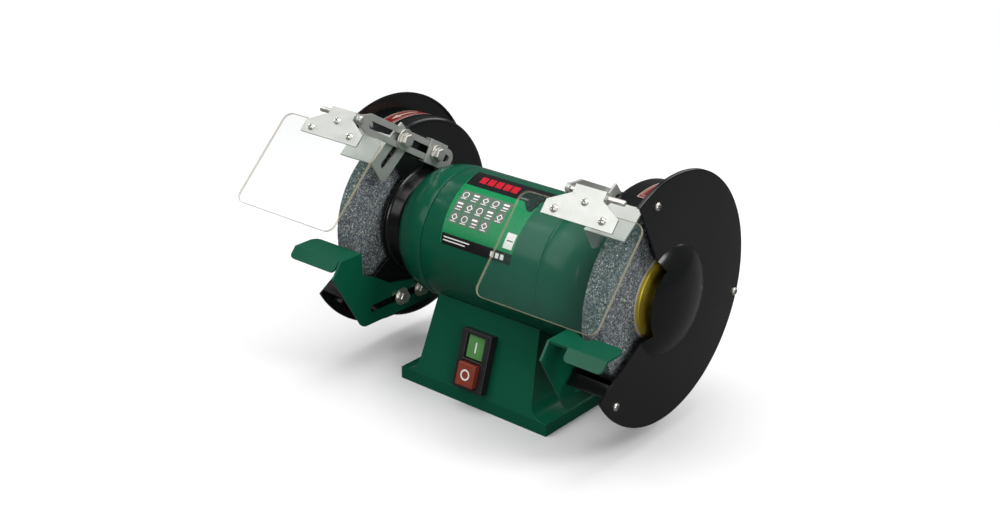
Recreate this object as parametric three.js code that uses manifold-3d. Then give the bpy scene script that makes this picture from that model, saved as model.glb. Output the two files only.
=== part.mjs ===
// A twin-wheel bench grinder: one motor spindle drives a grinding wheel on each side. Each wheel
// turns in a sheet-metal guard that carries a tool rest, a spark deflector and an eye shield.
// Units are millimetres. X runs along the spindle, -Y is the operator's side and +Z is up.
// The origin is the middle of the base's underside. The right-hand parts are modelled at +X, and the
// left-hand ones are their mirror images with settings of their own.
import * as THREE from 'three';
import { mergeVertices } from 'three/addons/utils/BufferGeometryUtils.js';
import Module from 'manifold-3d';

// ---- Driving dimensions -------------------------------------------------------------------------

const GAP = 0.3;               // left between parts that rest on each other
const RUNNING = 0.05;          // radial clearance of a running fit
const SPINDLE_HEIGHT = 120;    // spindle axis above the bench
const SHEET = 1.5;             // guard and deflector sheet

const MOTOR_RADIUS = 57.2;
const MOTOR_HALF_LENGTH = 60;
const MOTOR_WALL = 2;
const BELL_LENGTH = 38;        // end bell, along the spindle
const BELL_FACE_RADIUS = 36;   // flat end face that the guard bolts to
const BELL_STRAIGHT = 5;       // straight part before the rounded shoulder
const BELL_WALL = 2.6;

const SPINDLE_RADIUS = 8;      // threaded wheel seat
const JOURNAL_RADIUS = 8.5;    // bearing seat
const CORE_SHAFT_RADIUS = 11;  // between the bearings
const BEARING_RADIUS = 17.5;
const BEARING_WIDTH = 12;
const SHAFT_SIDES = 24;         // facets of the spindle, and of every bore that fits it
const ROTOR_RADIUS = 29.6;
const AIR_GAP = 0.5;
const STATOR_HALF_LENGTH = 25;
const WINDING_LENGTH = 17;
const WINDING_RADII = [33, 50];
const WINDING_ROUND = 3;       // cut corners of the winding's end
const BELL_FLOOR = 5;          // bell's end face to the bearing

const WHEEL_RADIUS = 75;
const WHEEL_WIDTH = 20;
const WHEEL_TO_GUARD = 6.2;    // guard sheet to the wheel's inner face
const WHEEL_TO_COVER = 8.5;    // wheel's outer face to the cover sheet
const FLANGE_RADIUS = 34;
const FLANGE_THICKNESS = 5.5;
const NUT_ACROSS_FLATS = 24;
const NUT_HEIGHT = 8;
const SPINDLE_PAST_NUT = 2;

const GUARD_CLEARANCE = 11.9;  // wheel rim to the inside of the guard's wall
const DISH_DEPTH = 12;         // guard hub, pressed in towards the end bell
const DISH_RADIUS = 45;
const MOUTH = { top: 119, wallTop: 112, bottom: 211, hub: 49, coverHub: 36 };
const COVER_OVERHANG = 15.1;   // cover edge beyond the guard's wall
const COVER_LIP = 3;
const DOME_RADIUS = 45;
const DOME_HEIGHT = 14;
const COVER_SCREWS = { beyondWall: 5.6, angles: [108.9, 220.3, 347.4], offset: [3.5, -4] };
const SCREW = { radius: 1.9, headRadius: 3.3, head: 2.2, length: 8 };
const LUG = { halfWidth: 6, cutCorner: 4, inside: 0.5 };
const MOUTH_LIP = 10;          // how far the wall's lower front end turns out
const LEAD_HOLE_RADIUS = 6;

const BASE_HALF = { x: 78, y: 61.5 };
const SKIRT_HEIGHT = 10.8;
const PEDESTAL_TOP_HALF = { x: 53.5, y: 41 };
const PEDESTAL_BELOW_SPINDLE = 40;
const LEDGE = { flat: 4, fillet: 13 };
const BASE_WALL = 3;
const CAVITY_TOP = 54;
const BOTTOM_PLATE = 2;
const PILLAR_RADIUS = 5;

const SWITCH = { width: 31, height: 50, proud: 9, bodyWidth: 26, bodyHeight: 45, depth: 18, z: 39 };
const BUTTON = { width: 18, height: 19.5, pitch: 22.5, clearance: 0.4, thickness: 12 };
const START_PROUD = -2.5;      // start button face, below the housing's rim
const STOP_PROUD = 5;          // stop button face, above the housing's rim
const GLAND = { bore: 4, radius: 8, flange: 11, length: 12, x: 34, z: 26 };
const CAPACITOR = { radius: 14, length: 42 };

const BOLT = { shank: 2.9, clearance: 0.4, head: 4.5, acrossFlats: 10.5, washer: 8, washerThickness: 1.2 };
const BOLT_HOLE = BOLT.shank + BOLT.clearance;

const REST = {
  sheet: 2, tableDrop: 8.6, tableLength: 24, tableReach: 54, lip: 11, lipAngle: 49,
  noseOut: 9.4, nose: 13.4, heel: 68.5, heelBack: 24, tail: 88, tailHeight: 26, cornerRadius: 7, heelRadius: 5,
  rearStep: 1.5, rearDrop: 29, boltDrop: 63.4, slotAhead: 34, slotBehind: 12, slotHalf: 3.6,
  middleGap: 1.8, lipOverlap: 0.2,
  boltsIn: [46, 70.4],                               // bolts, behind the front of the wheel's rim
  rearEdge: [[57.5, -51.5], [32, -46.5], [14, -35]],  // the plate's rear edge, measured the same way
};
const REST_NOTCH = { right: 7, left: 12, tip: 2, depth: 7 };
const ARM = {
  halfWidth: 8.5, sheet: 2.5, cap: 3.9, taper: 12, slotStart: 15, beyondBolt: 17.2, middleAngle: 30,
  boltsBeyondGuard: [-29.5, 14.4],                   // distances from the rod, less the guard's radius
};
const SADDLE = { length: 24, thickness: 1.5, clearance: 0.5 };
const ROD = { radius: 2.2, insideGuard: 11.4, aboveGuard: 20.1, head: 3.6 };
const DEFLECTOR = {
  clearance: 1.6, ahead: 10, length: 30, angle: 36.9, width: 36, tongue: 24, slotAhead: 28, slotBehind: 3,
  edge: 2.6,
};
const SHIELD = { width: 109, height: 86, thickness: 2.5, top: 11.8, corner: 8, centre: 125 };
const BRACKET = {
  thickness: 1.5, offset: 4.1, knuckleHalf: 13.5, shoulder: 4, lobeHalf: 31.5,
  lobeTop: 14, lobeBottom: 25, knuckleRadius: 4.4,
};

// What differs between the two sides: how the rest, the arm and the shield are set, and the
// drill notch that only the right-hand rest has.
const SIDES = [
  { name: 'right', sign: 1, restGap: 4.5, armAngle: 25, tilt: 50, bracket: 127, rodEnd: 155,
    lipInset: 19, notch: true },
  { name: 'left', sign: -1, restGap: 2.2, armAngle: 30, tilt: 45, bracket: 121.5, rodEnd: 150,
    lipInset: 3, notch: false },
];

// Positions that follow along the spindle, outwards from the motor.
const BELL_END = MOTOR_HALF_LENGTH + BELL_LENGTH;
const GUARD_X = BELL_END + GAP + DISH_DEPTH;
const WHEEL_X = GUARD_X + SHEET + WHEEL_TO_GUARD;
const WHEEL_END = WHEEL_X + WHEEL_WIDTH;
const COVER_X = WHEEL_END + WHEEL_TO_COVER;
const COVER_FACE = COVER_X + SHEET;
const GUARD_RADIUS = WHEEL_RADIUS + GUARD_CLEARANCE + SHEET;
const COVER_RADIUS = GUARD_RADIUS + COVER_OVERHANG;
const ARM_BOLTS = ARM.boltsBeyondGuard.map((extra) => GUARD_RADIUS + extra);
const FLANGE_OUT = WHEEL_END + GAP + FLANGE_THICKNESS;
const NUT_END = FLANGE_OUT + GAP + NUT_HEIGHT;
const SPINDLE_END = NUT_END + SPINDLE_PAST_NUT;
const BEARING_X = BELL_END - BELL_FLOOR - BEARING_WIDTH;
const REST_X = GUARD_X - GAP - REST.sheet;
const ARM_X = REST_X - GAP - ARM.sheet;
const PEDESTAL_RISE = SPINDLE_HEIGHT - PEDESTAL_BELOW_SPINDLE - SKIRT_HEIGHT;
const FRONT_SLOPE = (BASE_HALF.y - PEDESTAL_TOP_HALF.y) / PEDESTAL_RISE;
const FRONT_ANGLE = Math.atan(FRONT_SLOPE);

const wasm = await Module();
wasm.setup();

// ---- Colours and finishes -----------------------------------------------------------------------

const finish = (color, roughness, metalness, extra = {}) => () =>
  new THREE.MeshStandardMaterial({ color, roughness, metalness, ...extra });
const GREEN_ENAMEL = finish(0x0f4a35, 0.3, 0.1);
const BLACK_ENAMEL = finish(0x151617, 0.35, 0.2);
const ABRASIVE = finish(0x6c7378, 0.95, 0.0);
const YELLOW_ZINC = finish(0xb9a033, 0.35, 0.9);
const BRIGHT_ZINC = finish(0xc4c8c8, 0.3, 0.95);
const BRIGHT_STEEL = finish(0x9ea2a4, 0.35, 0.95);
const LAMINATION = finish(0x6d6f70, 0.5, 0.8);
const COPPER = finish(0xb06a3a, 0.4, 0.9);
const BLACK_PLASTIC = finish(0x141515, 0.45, 0.0);
const START_GREEN = finish(0x5c9a54, 0.4, 0.0);
const STOP_RED = finish(0x8f3a2a, 0.4, 0.0);
const CLEAR_SHEET = finish(0xe8eee8, 0.1, 0.0, { transparent: true, opacity: 0.35 });
const GREY_CAN = finish(0xa9acae, 0.4, 0.5);

// ---- Solids and shapes --------------------------------------------------------------------------

const radians = THREE.MathUtils.degToRad;

/** Turns a closed three.js geometry into a solid that can be joined and cut. */
function solid(geometry) {
  const bare = geometry.index ? geometry.toNonIndexed() : geometry.clone();
  bare.deleteAttribute('normal');
  bare.deleteAttribute('uv');
  const merged = mergeVertices(bare, 1e-4);
  const index = merged.index.array;
  const faces = [];
  for (let i = 0; i < index.length; i += 3) {
    const [a, b, c] = [index[i], index[i + 1], index[i + 2]];
    if (a !== b && b !== c && c !== a) faces.push(a, b, c);
  }
  return new wasm.Manifold(new wasm.Mesh({
    numProp: 3,
    vertProperties: new Float32Array(merged.attributes.position.array),
    triVerts: new Uint32Array(faces),
  }));
}

/** Turns a solid back into a three.js geometry, as its mirror image when it is a left-hand part. */
function geometryOf(shape, sign = 1) {
  const mesh = shape.getMesh();
  const points = new Float32Array(mesh.vertProperties);
  const index = new Uint32Array(mesh.triVerts);
  if (sign < 0) {
    for (let i = 0; i < points.length; i += 3) points[i] = -points[i];
    for (let i = 0; i < index.length; i += 3) [index[i], index[i + 1]] = [index[i + 1], index[i]];
  }
  const geometry = new THREE.BufferGeometry();
  geometry.setAttribute('position', new THREE.BufferAttribute(points, 3));
  geometry.setIndex(new THREE.BufferAttribute(index, 1));
  geometry.computeVertexNormals();
  return geometry;
}

/** Sends shape axes (x, y) to world (Y, Z) and the depth to world X. */
const SIDEWAYS = new THREE.Matrix4().makeBasis(
  new THREE.Vector3(0, 1, 0), new THREE.Vector3(0, 0, 1), new THREE.Vector3(1, 0, 0));

/** A solid of revolution about the spindle line: the profile is [radius, x] pairs, anticlockwise. */
function turned(profile, segments = 48, y = 0, z = 0) {
  const points = profile.map(([r, x]) => new THREE.Vector2(r, x));
  const lathe = new THREE.LatheGeometry(points, segments);
  const toSpindle = new THREE.Matrix4().makeBasis(
    new THREE.Vector3(0, 0, 1), new THREE.Vector3(1, 0, 0), new THREE.Vector3(0, 1, 0));
  return solid(lathe.applyMatrix4(toSpindle).translate(0, y, z));
}

/** A closed ring section, from an open list of corners. */
function ring(corners, segments) {
  return turned([...corners, corners[0]], segments);
}

/** A plain bar along X. */
function bar(radius, x0, x1, y = 0, z = 0, segments = 16) {
  return turned([[0, x0], [radius, x0], [radius, x1], [0, x1]], segments, y, z);
}

/** A closed outline from [u, v] pairs. */
function outline(points) {
  return new THREE.Shape(points.map(([u, v]) => new THREE.Vector2(u, v)));
}

/** A straight slot outline with round ends, from one end's centre to the other's. */
function slotOutline([u0, v0], [u1, v1], half) {
  const along = Math.atan2(v1 - v0, u1 - u0);
  const shape = new THREE.Shape();
  shape.absarc(u1, v1, half, along - Math.PI / 2, along + Math.PI / 2, false);
  shape.absarc(u0, v0, half, along + Math.PI / 2, along + 1.5 * Math.PI, false);
  shape.closePath();
  return shape;
}

/** Sheet or block of a given outline: flat in XY and thick in Z, before it is placed. */
function slab(shape, z0, z1, curveSegments = 6) {
  const geometry = new THREE.ExtrudeGeometry(shape, { depth: z1 - z0, bevelEnabled: false, curveSegments });
  return geometry.translate(0, 0, z0);
}

/** The same with its outline in the YZ plane and its thickness along X. */
function sideSlab(shape, x0, x1, curveSegments) {
  return solid(slab(shape, x0, x1, curveSegments).applyMatrix4(SIDEWAYS));
}

/** An upright box between two corners. */
function block([x0, y0, z0], [x1, y1, z1]) {
  const box = new THREE.BoxGeometry(x1 - x0, y1 - y0, z1 - z0);
  return solid(box.translate((x0 + x1) / 2, (y0 + y1) / 2, (z0 + z1) / 2));
}

/** A wedge of a ring in the YZ plane, between two angles in degrees and two radii. */
function sector(x0, x1, inner, outer, from, to) {
  const shape = new THREE.Shape();
  shape.absarc(0, 0, outer, radians(from), radians(to), false);
  shape.absarc(0, 0, inner, radians(to), radians(from), true);
  shape.closePath();
  return sideSlab(shape, x0, x1, 12);
}

const onCircle = (radius, degrees) => (
  [radius * Math.cos(radians(degrees)), radius * Math.sin(radians(degrees))]);

// ---- The assembly -------------------------------------------------------------------------------

const group = new THREE.Group();
const spindleLevel = new THREE.Group();
spindleLevel.position.z = SPINDLE_HEIGHT;
group.add(spindleLevel);

/** Adds one named part to a parent group. */
function add(parent, name, geometry, material) {
  const mesh = new THREE.Mesh(geometry, material());
  mesh.name = name;
  parent.add(mesh);
}

// ---- Motor --------------------------------------------------------------------------------------

/** The shell around the stator, with a hole at the bottom for the leads. */
function motorHousing() {
  const inner = MOTOR_RADIUS - MOTOR_WALL;
  const x = MOTOR_HALF_LENGTH - GAP / 2;
  const tube = ring([[inner, -x], [MOTOR_RADIUS, -x], [MOTOR_RADIUS, x], [inner, x]], 48);
  return tube.subtract(leadHole());
}

/** The passage for the leads between the pedestal and the motor. */
function leadHole() {
  const drill = new THREE.CylinderGeometry(LEAD_HOLE_RADIUS, LEAD_HOLE_RADIUS, 40, 16);
  return solid(drill.rotateX(Math.PI / 2).translate(0, 0, -MOTOR_RADIUS));
}

/** A rounded bell that closes the motor and holds a bearing in its boss. */
function endBell() {
  const start = MOTOR_HALF_LENGTH + GAP / 2;
  const shoulder = start + BELL_STRAIGHT;
  const arc = (inset, steps) => Array.from({ length: steps + 1 }, (_, i) => {
    const t = (i / steps) * Math.PI / 2;
    const r = BELL_FACE_RADIUS + (MOTOR_RADIUS - inset - BELL_FACE_RADIUS) * Math.cos(t);
    return [r, shoulder + (BELL_END - inset - shoulder) * Math.sin(t)];
  });
  const boss = BEARING_RADIUS + GAP;
  const seat = BELL_END - BELL_FLOOR + GAP;
  return ring([
    [MOTOR_RADIUS - BELL_WALL, start], [MOTOR_RADIUS, start], ...arc(0, 5),
    [JOURNAL_RADIUS + 2, BELL_END], [JOURNAL_RADIUS + 2, seat], [boss, seat],
    [boss, BEARING_X - 1], [boss + 4, BEARING_X - 1], [boss + 4, BELL_END - BELL_WALL],
    ...arc(BELL_WALL, 3).reverse(),
  ], 32);
}

/** The steel shaft, thick between the bearings and stepped down to the wheel seats. */
function spindle() {
  const flangeSeat = WHEEL_X - GAP - FLANGE_THICKNESS - 0.2;
  const half = [[SPINDLE_RADIUS, flangeSeat], [JOURNAL_RADIUS, flangeSeat],
    [JOURNAL_RADIUS, BEARING_X - 1], [CORE_SHAFT_RADIUS, BEARING_X - 1]];
  const left = half.map(([r, x]) => [r, -x]);
  return turned([
    [0, -SPINDLE_END], [SPINDLE_RADIUS, -SPINDLE_END], ...left,
    ...half.reverse(), [SPINDLE_RADIUS, SPINDLE_END], [0, SPINDLE_END],
  ], SHAFT_SIDES);
}

function addMotor() {
  const half = STATOR_HALF_LENGTH;
  const bore = ROTOR_RADIUS + AIR_GAP;
  const statorRadius = MOTOR_RADIUS - MOTOR_WALL - GAP;
  const hub = CORE_SHAFT_RADIUS + RUNNING;
  add(spindleLevel, 'motor_housing', geometryOf(motorHousing()), GREEN_ENAMEL);
  add(spindleLevel, 'stator_core',
    geometryOf(ring([[bore, -half], [statorRadius, -half], [statorRadius, half], [bore, half]], 40)), LAMINATION);
  const rotor = ring([[hub, -half], [ROTOR_RADIUS, -half], [ROTOR_RADIUS, half], [hub, half]], SHAFT_SIDES);
  add(spindleLevel, 'rotor_core', geometryOf(rotor), LAMINATION);
  add(spindleLevel, 'spindle', geometryOf(spindle()), BRIGHT_STEEL);
  const [inner, outer] = WINDING_RADII;
  const start = half + GAP;
  const end = start + WINDING_LENGTH;
  const cut = WINDING_ROUND;
  const winding = ring([[inner, start], [outer, start], [outer, end - cut], [outer - cut, end], [inner + cut, end],
    [inner, end - cut]], 24);
  const seat = JOURNAL_RADIUS + RUNNING;
  const far = BEARING_X + BEARING_WIDTH;
  const bearing = ring([[seat, BEARING_X], [BEARING_RADIUS, BEARING_X], [BEARING_RADIUS, far], [seat, far]],
    SHAFT_SIDES);
  for (const { name, sign } of SIDES) {
    add(spindleLevel, `${name}_end_bell`, geometryOf(endBell(), sign), GREEN_ENAMEL);
    add(spindleLevel, `${name}_winding`, geometryOf(winding, sign), COPPER);
    add(spindleLevel, `${name}_bearing`, geometryOf(bearing, sign), BRIGHT_STEEL);
  }
}

// ---- Wheels and what clamps them ----------------------------------------------------------------

/** A dished clamping flange whose rim bears on the wheel: it faces +X and ends at x = 0. */
function flange(bore) {
  const rim = FLANGE_RADIUS;
  const t = FLANGE_THICKNESS;
  return [[bore, -t], [rim * 0.45, -t], [rim * 0.55, -t + 2], [rim, -t + 3], [rim, 0], [rim - 7, 0],
    [rim - 8, -1], [bore, -1]];
}

function addWheelSet({ name, sign }) {
  const bore = SPINDLE_RADIUS + RUNNING;
  const inner = flange(bore).map(([r, x]) => [r, x + WHEEL_X - GAP]);
  const outer = flange(bore).map(([r, x]) => [r, WHEEL_END + GAP - x]).reverse();
  const edge = 1;
  const wheel = ring([[bore, WHEEL_X], [WHEEL_RADIUS - edge, WHEEL_X], [WHEEL_RADIUS, WHEEL_X + edge],
    [WHEEL_RADIUS, WHEEL_END - edge], [WHEEL_RADIUS - edge, WHEEL_END], [bore, WHEEL_END]], 44);
  const nutRadius = NUT_ACROSS_FLATS / Math.sqrt(3);
  const nut = turned([[0, FLANGE_OUT + GAP], [nutRadius, FLANGE_OUT + GAP], [nutRadius, NUT_END], [0, NUT_END]], 6)
    .subtract(bar(bore, FLANGE_OUT, NUT_END + 1, 0, 0, SHAFT_SIDES));
  add(spindleLevel, `${name}_grinding_wheel`, geometryOf(wheel, sign), ABRASIVE);
  add(spindleLevel, `${name}_inner_flange`, geometryOf(ring(inner, SHAFT_SIDES), sign), BRIGHT_STEEL);
  add(spindleLevel, `${name}_outer_flange`, geometryOf(ring(outer, SHAFT_SIDES), sign), YELLOW_ZINC);
  add(spindleLevel, `${name}_spindle_nut`, geometryOf(nut, sign), BRIGHT_STEEL);
}

// ---- Guards -------------------------------------------------------------------------------------

/** Where the cover's screws sit, as [y, z] from the spindle. */
const coverScrewSpots = COVER_SCREWS.angles.map((angle) => {
  const [y, z] = onCircle(GUARD_RADIUS + COVER_SCREWS.beyondWall, angle);
  return [y + COVER_SCREWS.offset[0], z + COVER_SCREWS.offset[1]];
});

/** Where a side's two arm bolts sit, as [y, z] from the spindle. */
function armBoltSpots(side) {
  const [dy, dz] = onCircle(1, -side.armAngle);
  return ARM_BOLTS.map((s) => [rodSpot(side)[0] + dy * s, rodSpot(side)[1] + dz * s]);
}

/** The shield's rod turns with the arm's angle about the arm's front bolt. */
function rodSpot(side) {
  const base = [ROD.insideGuard - GUARD_RADIUS, GUARD_RADIUS + ROD.aboveGuard];
  const straight = onCircle(ARM_BOLTS[0], -ARM.middleAngle);
  const turnedTo = onCircle(ARM_BOLTS[0], -side.armAngle);
  return [base[0] + straight[0] - turnedTo[0], base[1] + straight[1] - turnedTo[1]];
}

const restBoltSpots = REST.boltsIn.map((depth) => [depth - WHEEL_RADIUS, -REST.boltDrop]);

/** Side plate, hub dish and wall of one guard, open at the front, with lugs for the cover. */
function guardDrum(side) {
  const floor = BELL_END + GAP;
  const end = COVER_X - GAP;
  const bore = BEARING_RADIUS - 0.5;
  const drum = ring([
    [bore, floor], [DISH_RADIUS - 4, floor], [DISH_RADIUS, GUARD_X], [GUARD_RADIUS, GUARD_X],
    [GUARD_RADIUS, end], [GUARD_RADIUS - SHEET, end], [GUARD_RADIUS - SHEET, GUARD_X + SHEET],
    [DISH_RADIUS - 1, GUARD_X + SHEET], [DISH_RADIUS - 5, floor + SHEET], [bore, floor + SHEET],
  ], 44);
  const reach = GUARD_RADIUS + 5;
  const plateMouth = sector(GUARD_X - 1, GUARD_X + SHEET + 1, MOUTH.hub, reach, MOUTH.top, MOUTH.bottom);
  const wallMouth = sector(GUARD_X + SHEET + 0.5, end + 1, GUARD_RADIUS - 4, reach, MOUTH.wallTop, MOUTH.bottom);
  let shape = drum.subtract(plateMouth).subtract(wallMouth).add(mouthLip(end));
  for (const spot of coverScrewSpots) shape = shape.add(coverLug(spot, end));
  for (const [y, z] of coverScrewSpots) {
    shape = shape.subtract(bar(SCREW.radius + GAP, COVER_FACE - SCREW.length - 1, end + 1, y, z, 10));
  }
  for (const [y, z] of [...restBoltSpots, ...armBoltSpots(side)]) {
    shape = shape.subtract(bar(BOLT.shank + GAP, GUARD_X - 1, GUARD_X + SHEET + 1, y, z, 12));
  }
  return shape;
}

/** The wall's lower front end, turned outwards as a stiff lip. */
function mouthLip(end) {
  const [root, edge] = [GUARD_RADIUS - SHEET, GUARD_RADIUS + MOUTH_LIP];
  const lip = outline([[root, -SHEET], [edge, -SHEET], [edge, 0], [root, 0]]);
  const geometry = slab(lip, GUARD_X + 2 * SHEET, end).applyMatrix4(SIDEWAYS);
  return solid(geometry.rotateX(radians(MOUTH.bottom + 1)));
}

/** A lug from the wall out to one cover screw. */
function coverLug([y, z], end) {
  const reach = Math.hypot(y, z);
  const tip = Math.min(reach + LUG.halfWidth, COVER_RADIUS - SHEET - LUG.inside);
  const [half, root] = [LUG.halfWidth, GUARD_RADIUS - SHEET / 2];
  const narrow = half - LUG.cutCorner;
  const lug = outline([[root, -half], [tip - LUG.cutCorner / 2, -half], [tip, -narrow], [tip, narrow],
    [tip - LUG.cutCorner / 2, half], [root, half]]);
  const geometry = slab(lug, end - SHEET, end).applyMatrix4(SIDEWAYS);
  return solid(geometry.rotateX(Math.atan2(z, y)));
}

/** The large outer disc: a rolled rim, a dome over the spindle nut and the same open mouth. */
function guardCover() {
  const steps = 4;
  const dome = (inset) => Array.from({ length: steps + 1 }, (_, i) => {
    const t = (i / steps) * Math.PI / 2;
    return [(DOME_RADIUS - inset) * Math.cos(t), COVER_FACE - inset + DOME_HEIGHT * Math.sin(t) ** 1.5];
  });
  const disc = turned([
    ...dome(SHEET).reverse().map(([r, x], i) => [i === 0 ? 0 : r, x]),
    [COVER_RADIUS - SHEET, COVER_X], [COVER_RADIUS - SHEET, COVER_FACE - COVER_LIP],
    [COVER_RADIUS, COVER_FACE - COVER_LIP], [COVER_RADIUS, COVER_FACE - 1], [COVER_RADIUS - 1, COVER_FACE],
    ...dome(0).map(([r, x], i) => [i === steps ? 0 : r, x]),
  ], 44);
  const mouth = sector(COVER_X - 10, COVER_FACE + 30, MOUTH.coverHub, COVER_RADIUS + 5, MOUTH.top, MOUTH.bottom);
  let shape = disc.subtract(mouth);
  for (const [y, z] of coverScrewSpots) {
    shape = shape.subtract(bar(SCREW.radius + GAP, COVER_X - 1, COVER_FACE + 1, y, z, 12));
  }
  return shape;
}

/** A pan-head screw through the cover and a lug. */
function coverScrew([y, z]) {
  const face = COVER_FACE + GAP;
  return turned([[0, face - SCREW.length], [SCREW.radius, face - SCREW.length], [SCREW.radius, face],
    [SCREW.headRadius, face], [SCREW.headRadius * 0.9, face + SCREW.head * 0.6], [0, face + SCREW.head]], 12, y, z);
}

function addGuard(side) {
  const { name, sign } = side;
  add(spindleLevel, `${name}_guard_drum`, geometryOf(guardDrum(side), sign), BLACK_ENAMEL);
  add(spindleLevel, `${name}_guard_cover`, geometryOf(guardCover(), sign), BLACK_ENAMEL);
  coverScrewSpots.forEach((spot, i) => {
    add(spindleLevel, `${name}_cover_screw_${i + 1}`, geometryOf(coverScrew(spot), sign), BRIGHT_ZINC);
  });
}

// ---- Bolts --------------------------------------------------------------------------------------

/** A hex bolt with its washer, whose head stands on the face at x and whose shank runs outwards. */
function hexBolt(x, [y, z], reach, washer = BOLT.washer) {
  const seat = x - GAP;
  const underHead = seat - BOLT.washerThickness;
  const stem = turned([[0, underHead], [washer, underHead], [washer, seat], [BOLT.shank, seat],
    [BOLT.shank, seat + reach], [0, seat + reach]], 12, y, z);
  const hexRadius = BOLT.acrossFlats / Math.sqrt(3);
  const top = underHead - BOLT.head;
  const head = turned([[0, top], [hexRadius * 0.85, top], [hexRadius, top + 0.7], [hexRadius, underHead + 0.2],
    [0, underHead + 0.2]], 6, y, z);
  return stem.add(head);
}

// ---- Tool rests ---------------------------------------------------------------------------------

/** The rest's rear edge, a set gap in front of the wheel at the table's height. */
function restRear(side) {
  return -(Math.sqrt(WHEEL_RADIUS ** 2 - REST.tableDrop ** 2) + side.restGap);
}

/** Points that round a corner: a quadratic curve that starts and ends a set distance from it. */
function roundedCorner(before, corner, after, distance) {
  const towards = ([y, z]) => {
    const share = distance / Math.hypot(y - corner[0], z - corner[1]);
    return [corner[0] + (y - corner[0]) * share, corner[1] + (z - corner[1]) * share];
  };
  const [a, b] = [towards(before), towards(after)];
  return [0, 0.25, 0.5, 0.75, 1].map((t) => [0, 1].map((k) => (
    (1 - t) ** 2 * a[k] + 2 * t * (1 - t) * corner[k] + t ** 2 * b[k])));
}

/** The upright plate that bolts to the guard, with its long horizontal slot. */
function restSidePlate(side) {
  const rear = restRear(side);
  const table = -REST.tableDrop;
  const front = rear - REST.tableLength;
  const nose = [front - REST.noseOut, table - REST.nose];
  const heel = [front + REST.heelBack, table - REST.heel];
  const tail = [heel[0] + REST.tail, heel[1]];
  const plate = outline([
    [rear, table], [front, table], nose, ...roundedCorner(nose, heel, tail, REST.heelRadius),
    tail, [tail[0], tail[1] + REST.tailHeight], ...REST.rearEdge.map(([y, z]) => [y - WHEEL_RADIUS, z]),
    [rear + REST.rearStep, -REST.rearDrop],
  ]);
  const [first, last] = restBoltSpots;
  const slid = rear + WHEEL_RADIUS + REST.middleGap;
  plate.holes.push(slotOutline([first[0] - REST.slotAhead + slid, first[1]],
    [last[0] + REST.slotBehind + slid, last[1]], REST.slotHalf));
  return sideSlab(plate, REST_X, REST_X + REST.sheet);
}

/** The flat table in front of the wheel, with rounded outer corners. */
function restTable(side) {
  const rear = restRear(side);
  const front = rear - REST.tableLength;
  const x0 = REST_X;
  const x1 = REST_X + REST.tableReach;
  const c = REST.cornerRadius;
  const shape = new THREE.Shape();
  shape.moveTo(x0, front);
  shape.lineTo(x1, front);
  shape.lineTo(x1, rear - c);
  shape.absarc(x1 - c, rear - c, c, 0, Math.PI / 2, false);
  if (side.notch) {
    const middle = WHEEL_X + WHEEL_WIDTH / 2;
    shape.lineTo(middle + REST_NOTCH.right, rear);
    shape.lineTo(middle + REST_NOTCH.tip, rear - REST_NOTCH.depth);
    shape.lineTo(middle - REST_NOTCH.left, rear);
  }
  shape.lineTo(x0, rear);
  shape.closePath();
  return solid(slab(shape, -REST.tableDrop - REST.sheet, -REST.tableDrop));
}

/** The front lip, bent down from the table. */
function restLip(side) {
  const x0 = REST_X + side.lipInset;
  const x1 = REST_X + REST.tableReach;
  const c = REST.cornerRadius * 0.6;
  const shape = new THREE.Shape();
  shape.moveTo(x0, REST.lipOverlap);
  shape.lineTo(x0, -REST.lip + c);
  shape.absarc(x0 + c, -REST.lip + c, c, Math.PI, 1.5 * Math.PI, false);
  shape.absarc(x1 - c, -REST.lip + c, c, 1.5 * Math.PI, 2 * Math.PI, false);
  shape.lineTo(x1, REST.lipOverlap);
  shape.closePath();
  const geometry = slab(shape, -REST.sheet, 0).rotateX(radians(REST.lipAngle));
  return solid(geometry.translate(0, restRear(side) - REST.tableLength, -REST.tableDrop));
}

function addToolRest(side) {
  const rest = restSidePlate(side).add(restTable(side)).add(restLip(side));
  add(spindleLevel, `${side.name}_tool_rest`, geometryOf(rest, side.sign), GREEN_ENAMEL);
  restBoltSpots.forEach((spot, i) => {
    const bolt = hexBolt(REST_X, spot, REST.sheet + SHEET + 5);
    add(spindleLevel, `${side.name}_rest_bolt_${i + 1}`, geometryOf(bolt, side.sign), BRIGHT_ZINC);
  });
}

// ---- Spark deflectors ---------------------------------------------------------------------------

/** A sheet across the top of the mouth and the slotted tongue that clamps it to the guard. */
function sparkDeflector(side) {
  const [uy, uz] = onCircle(1, DEFLECTOR.angle);
  const distance = GUARD_RADIUS + DEFLECTOR.clearance;
  const [y0, z0] = [-uz * distance - uy * DEFLECTOR.ahead, uy * distance - uz * DEFLECTOR.ahead];
  const at = (u, w) => [y0 + uy * u - uz * w, z0 + uz * u + uy * w];
  const [by, bz] = armBoltSpots(side)[0];
  const boltU = (by - y0) * uy + (bz - z0) * uz;
  const boltW = (bz - z0) * uy - (by - y0) * uz;
  const low = Math.min(-DEFLECTOR.tongue, boltW - BOLT_HOLE - DEFLECTOR.edge);
  const across = sideSlab(outline([at(0, 0), at(DEFLECTOR.length, 0), at(DEFLECTOR.length, SHEET), at(0, SHEET)]),
    REST_X, REST_X + DEFLECTOR.width);
  const slotEnd = boltU + DEFLECTOR.slotBehind;
  const back = slotEnd + BOLT_HOLE + DEFLECTOR.edge;
  const tongue = outline([at(0, SHEET), at(-2, low + 4), at(2, low), at(slotEnd, low + 1), at(back, boltW),
    at(back, 0), at(DEFLECTOR.length, SHEET)]);
  tongue.holes.push(slotOutline(at(boltU - DEFLECTOR.slotAhead, boltW), at(slotEnd, boltW), BOLT_HOLE));
  return across.add(sideSlab(tongue, REST_X, REST_X + REST.sheet));
}

// ---- Shield arms --------------------------------------------------------------------------------

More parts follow.
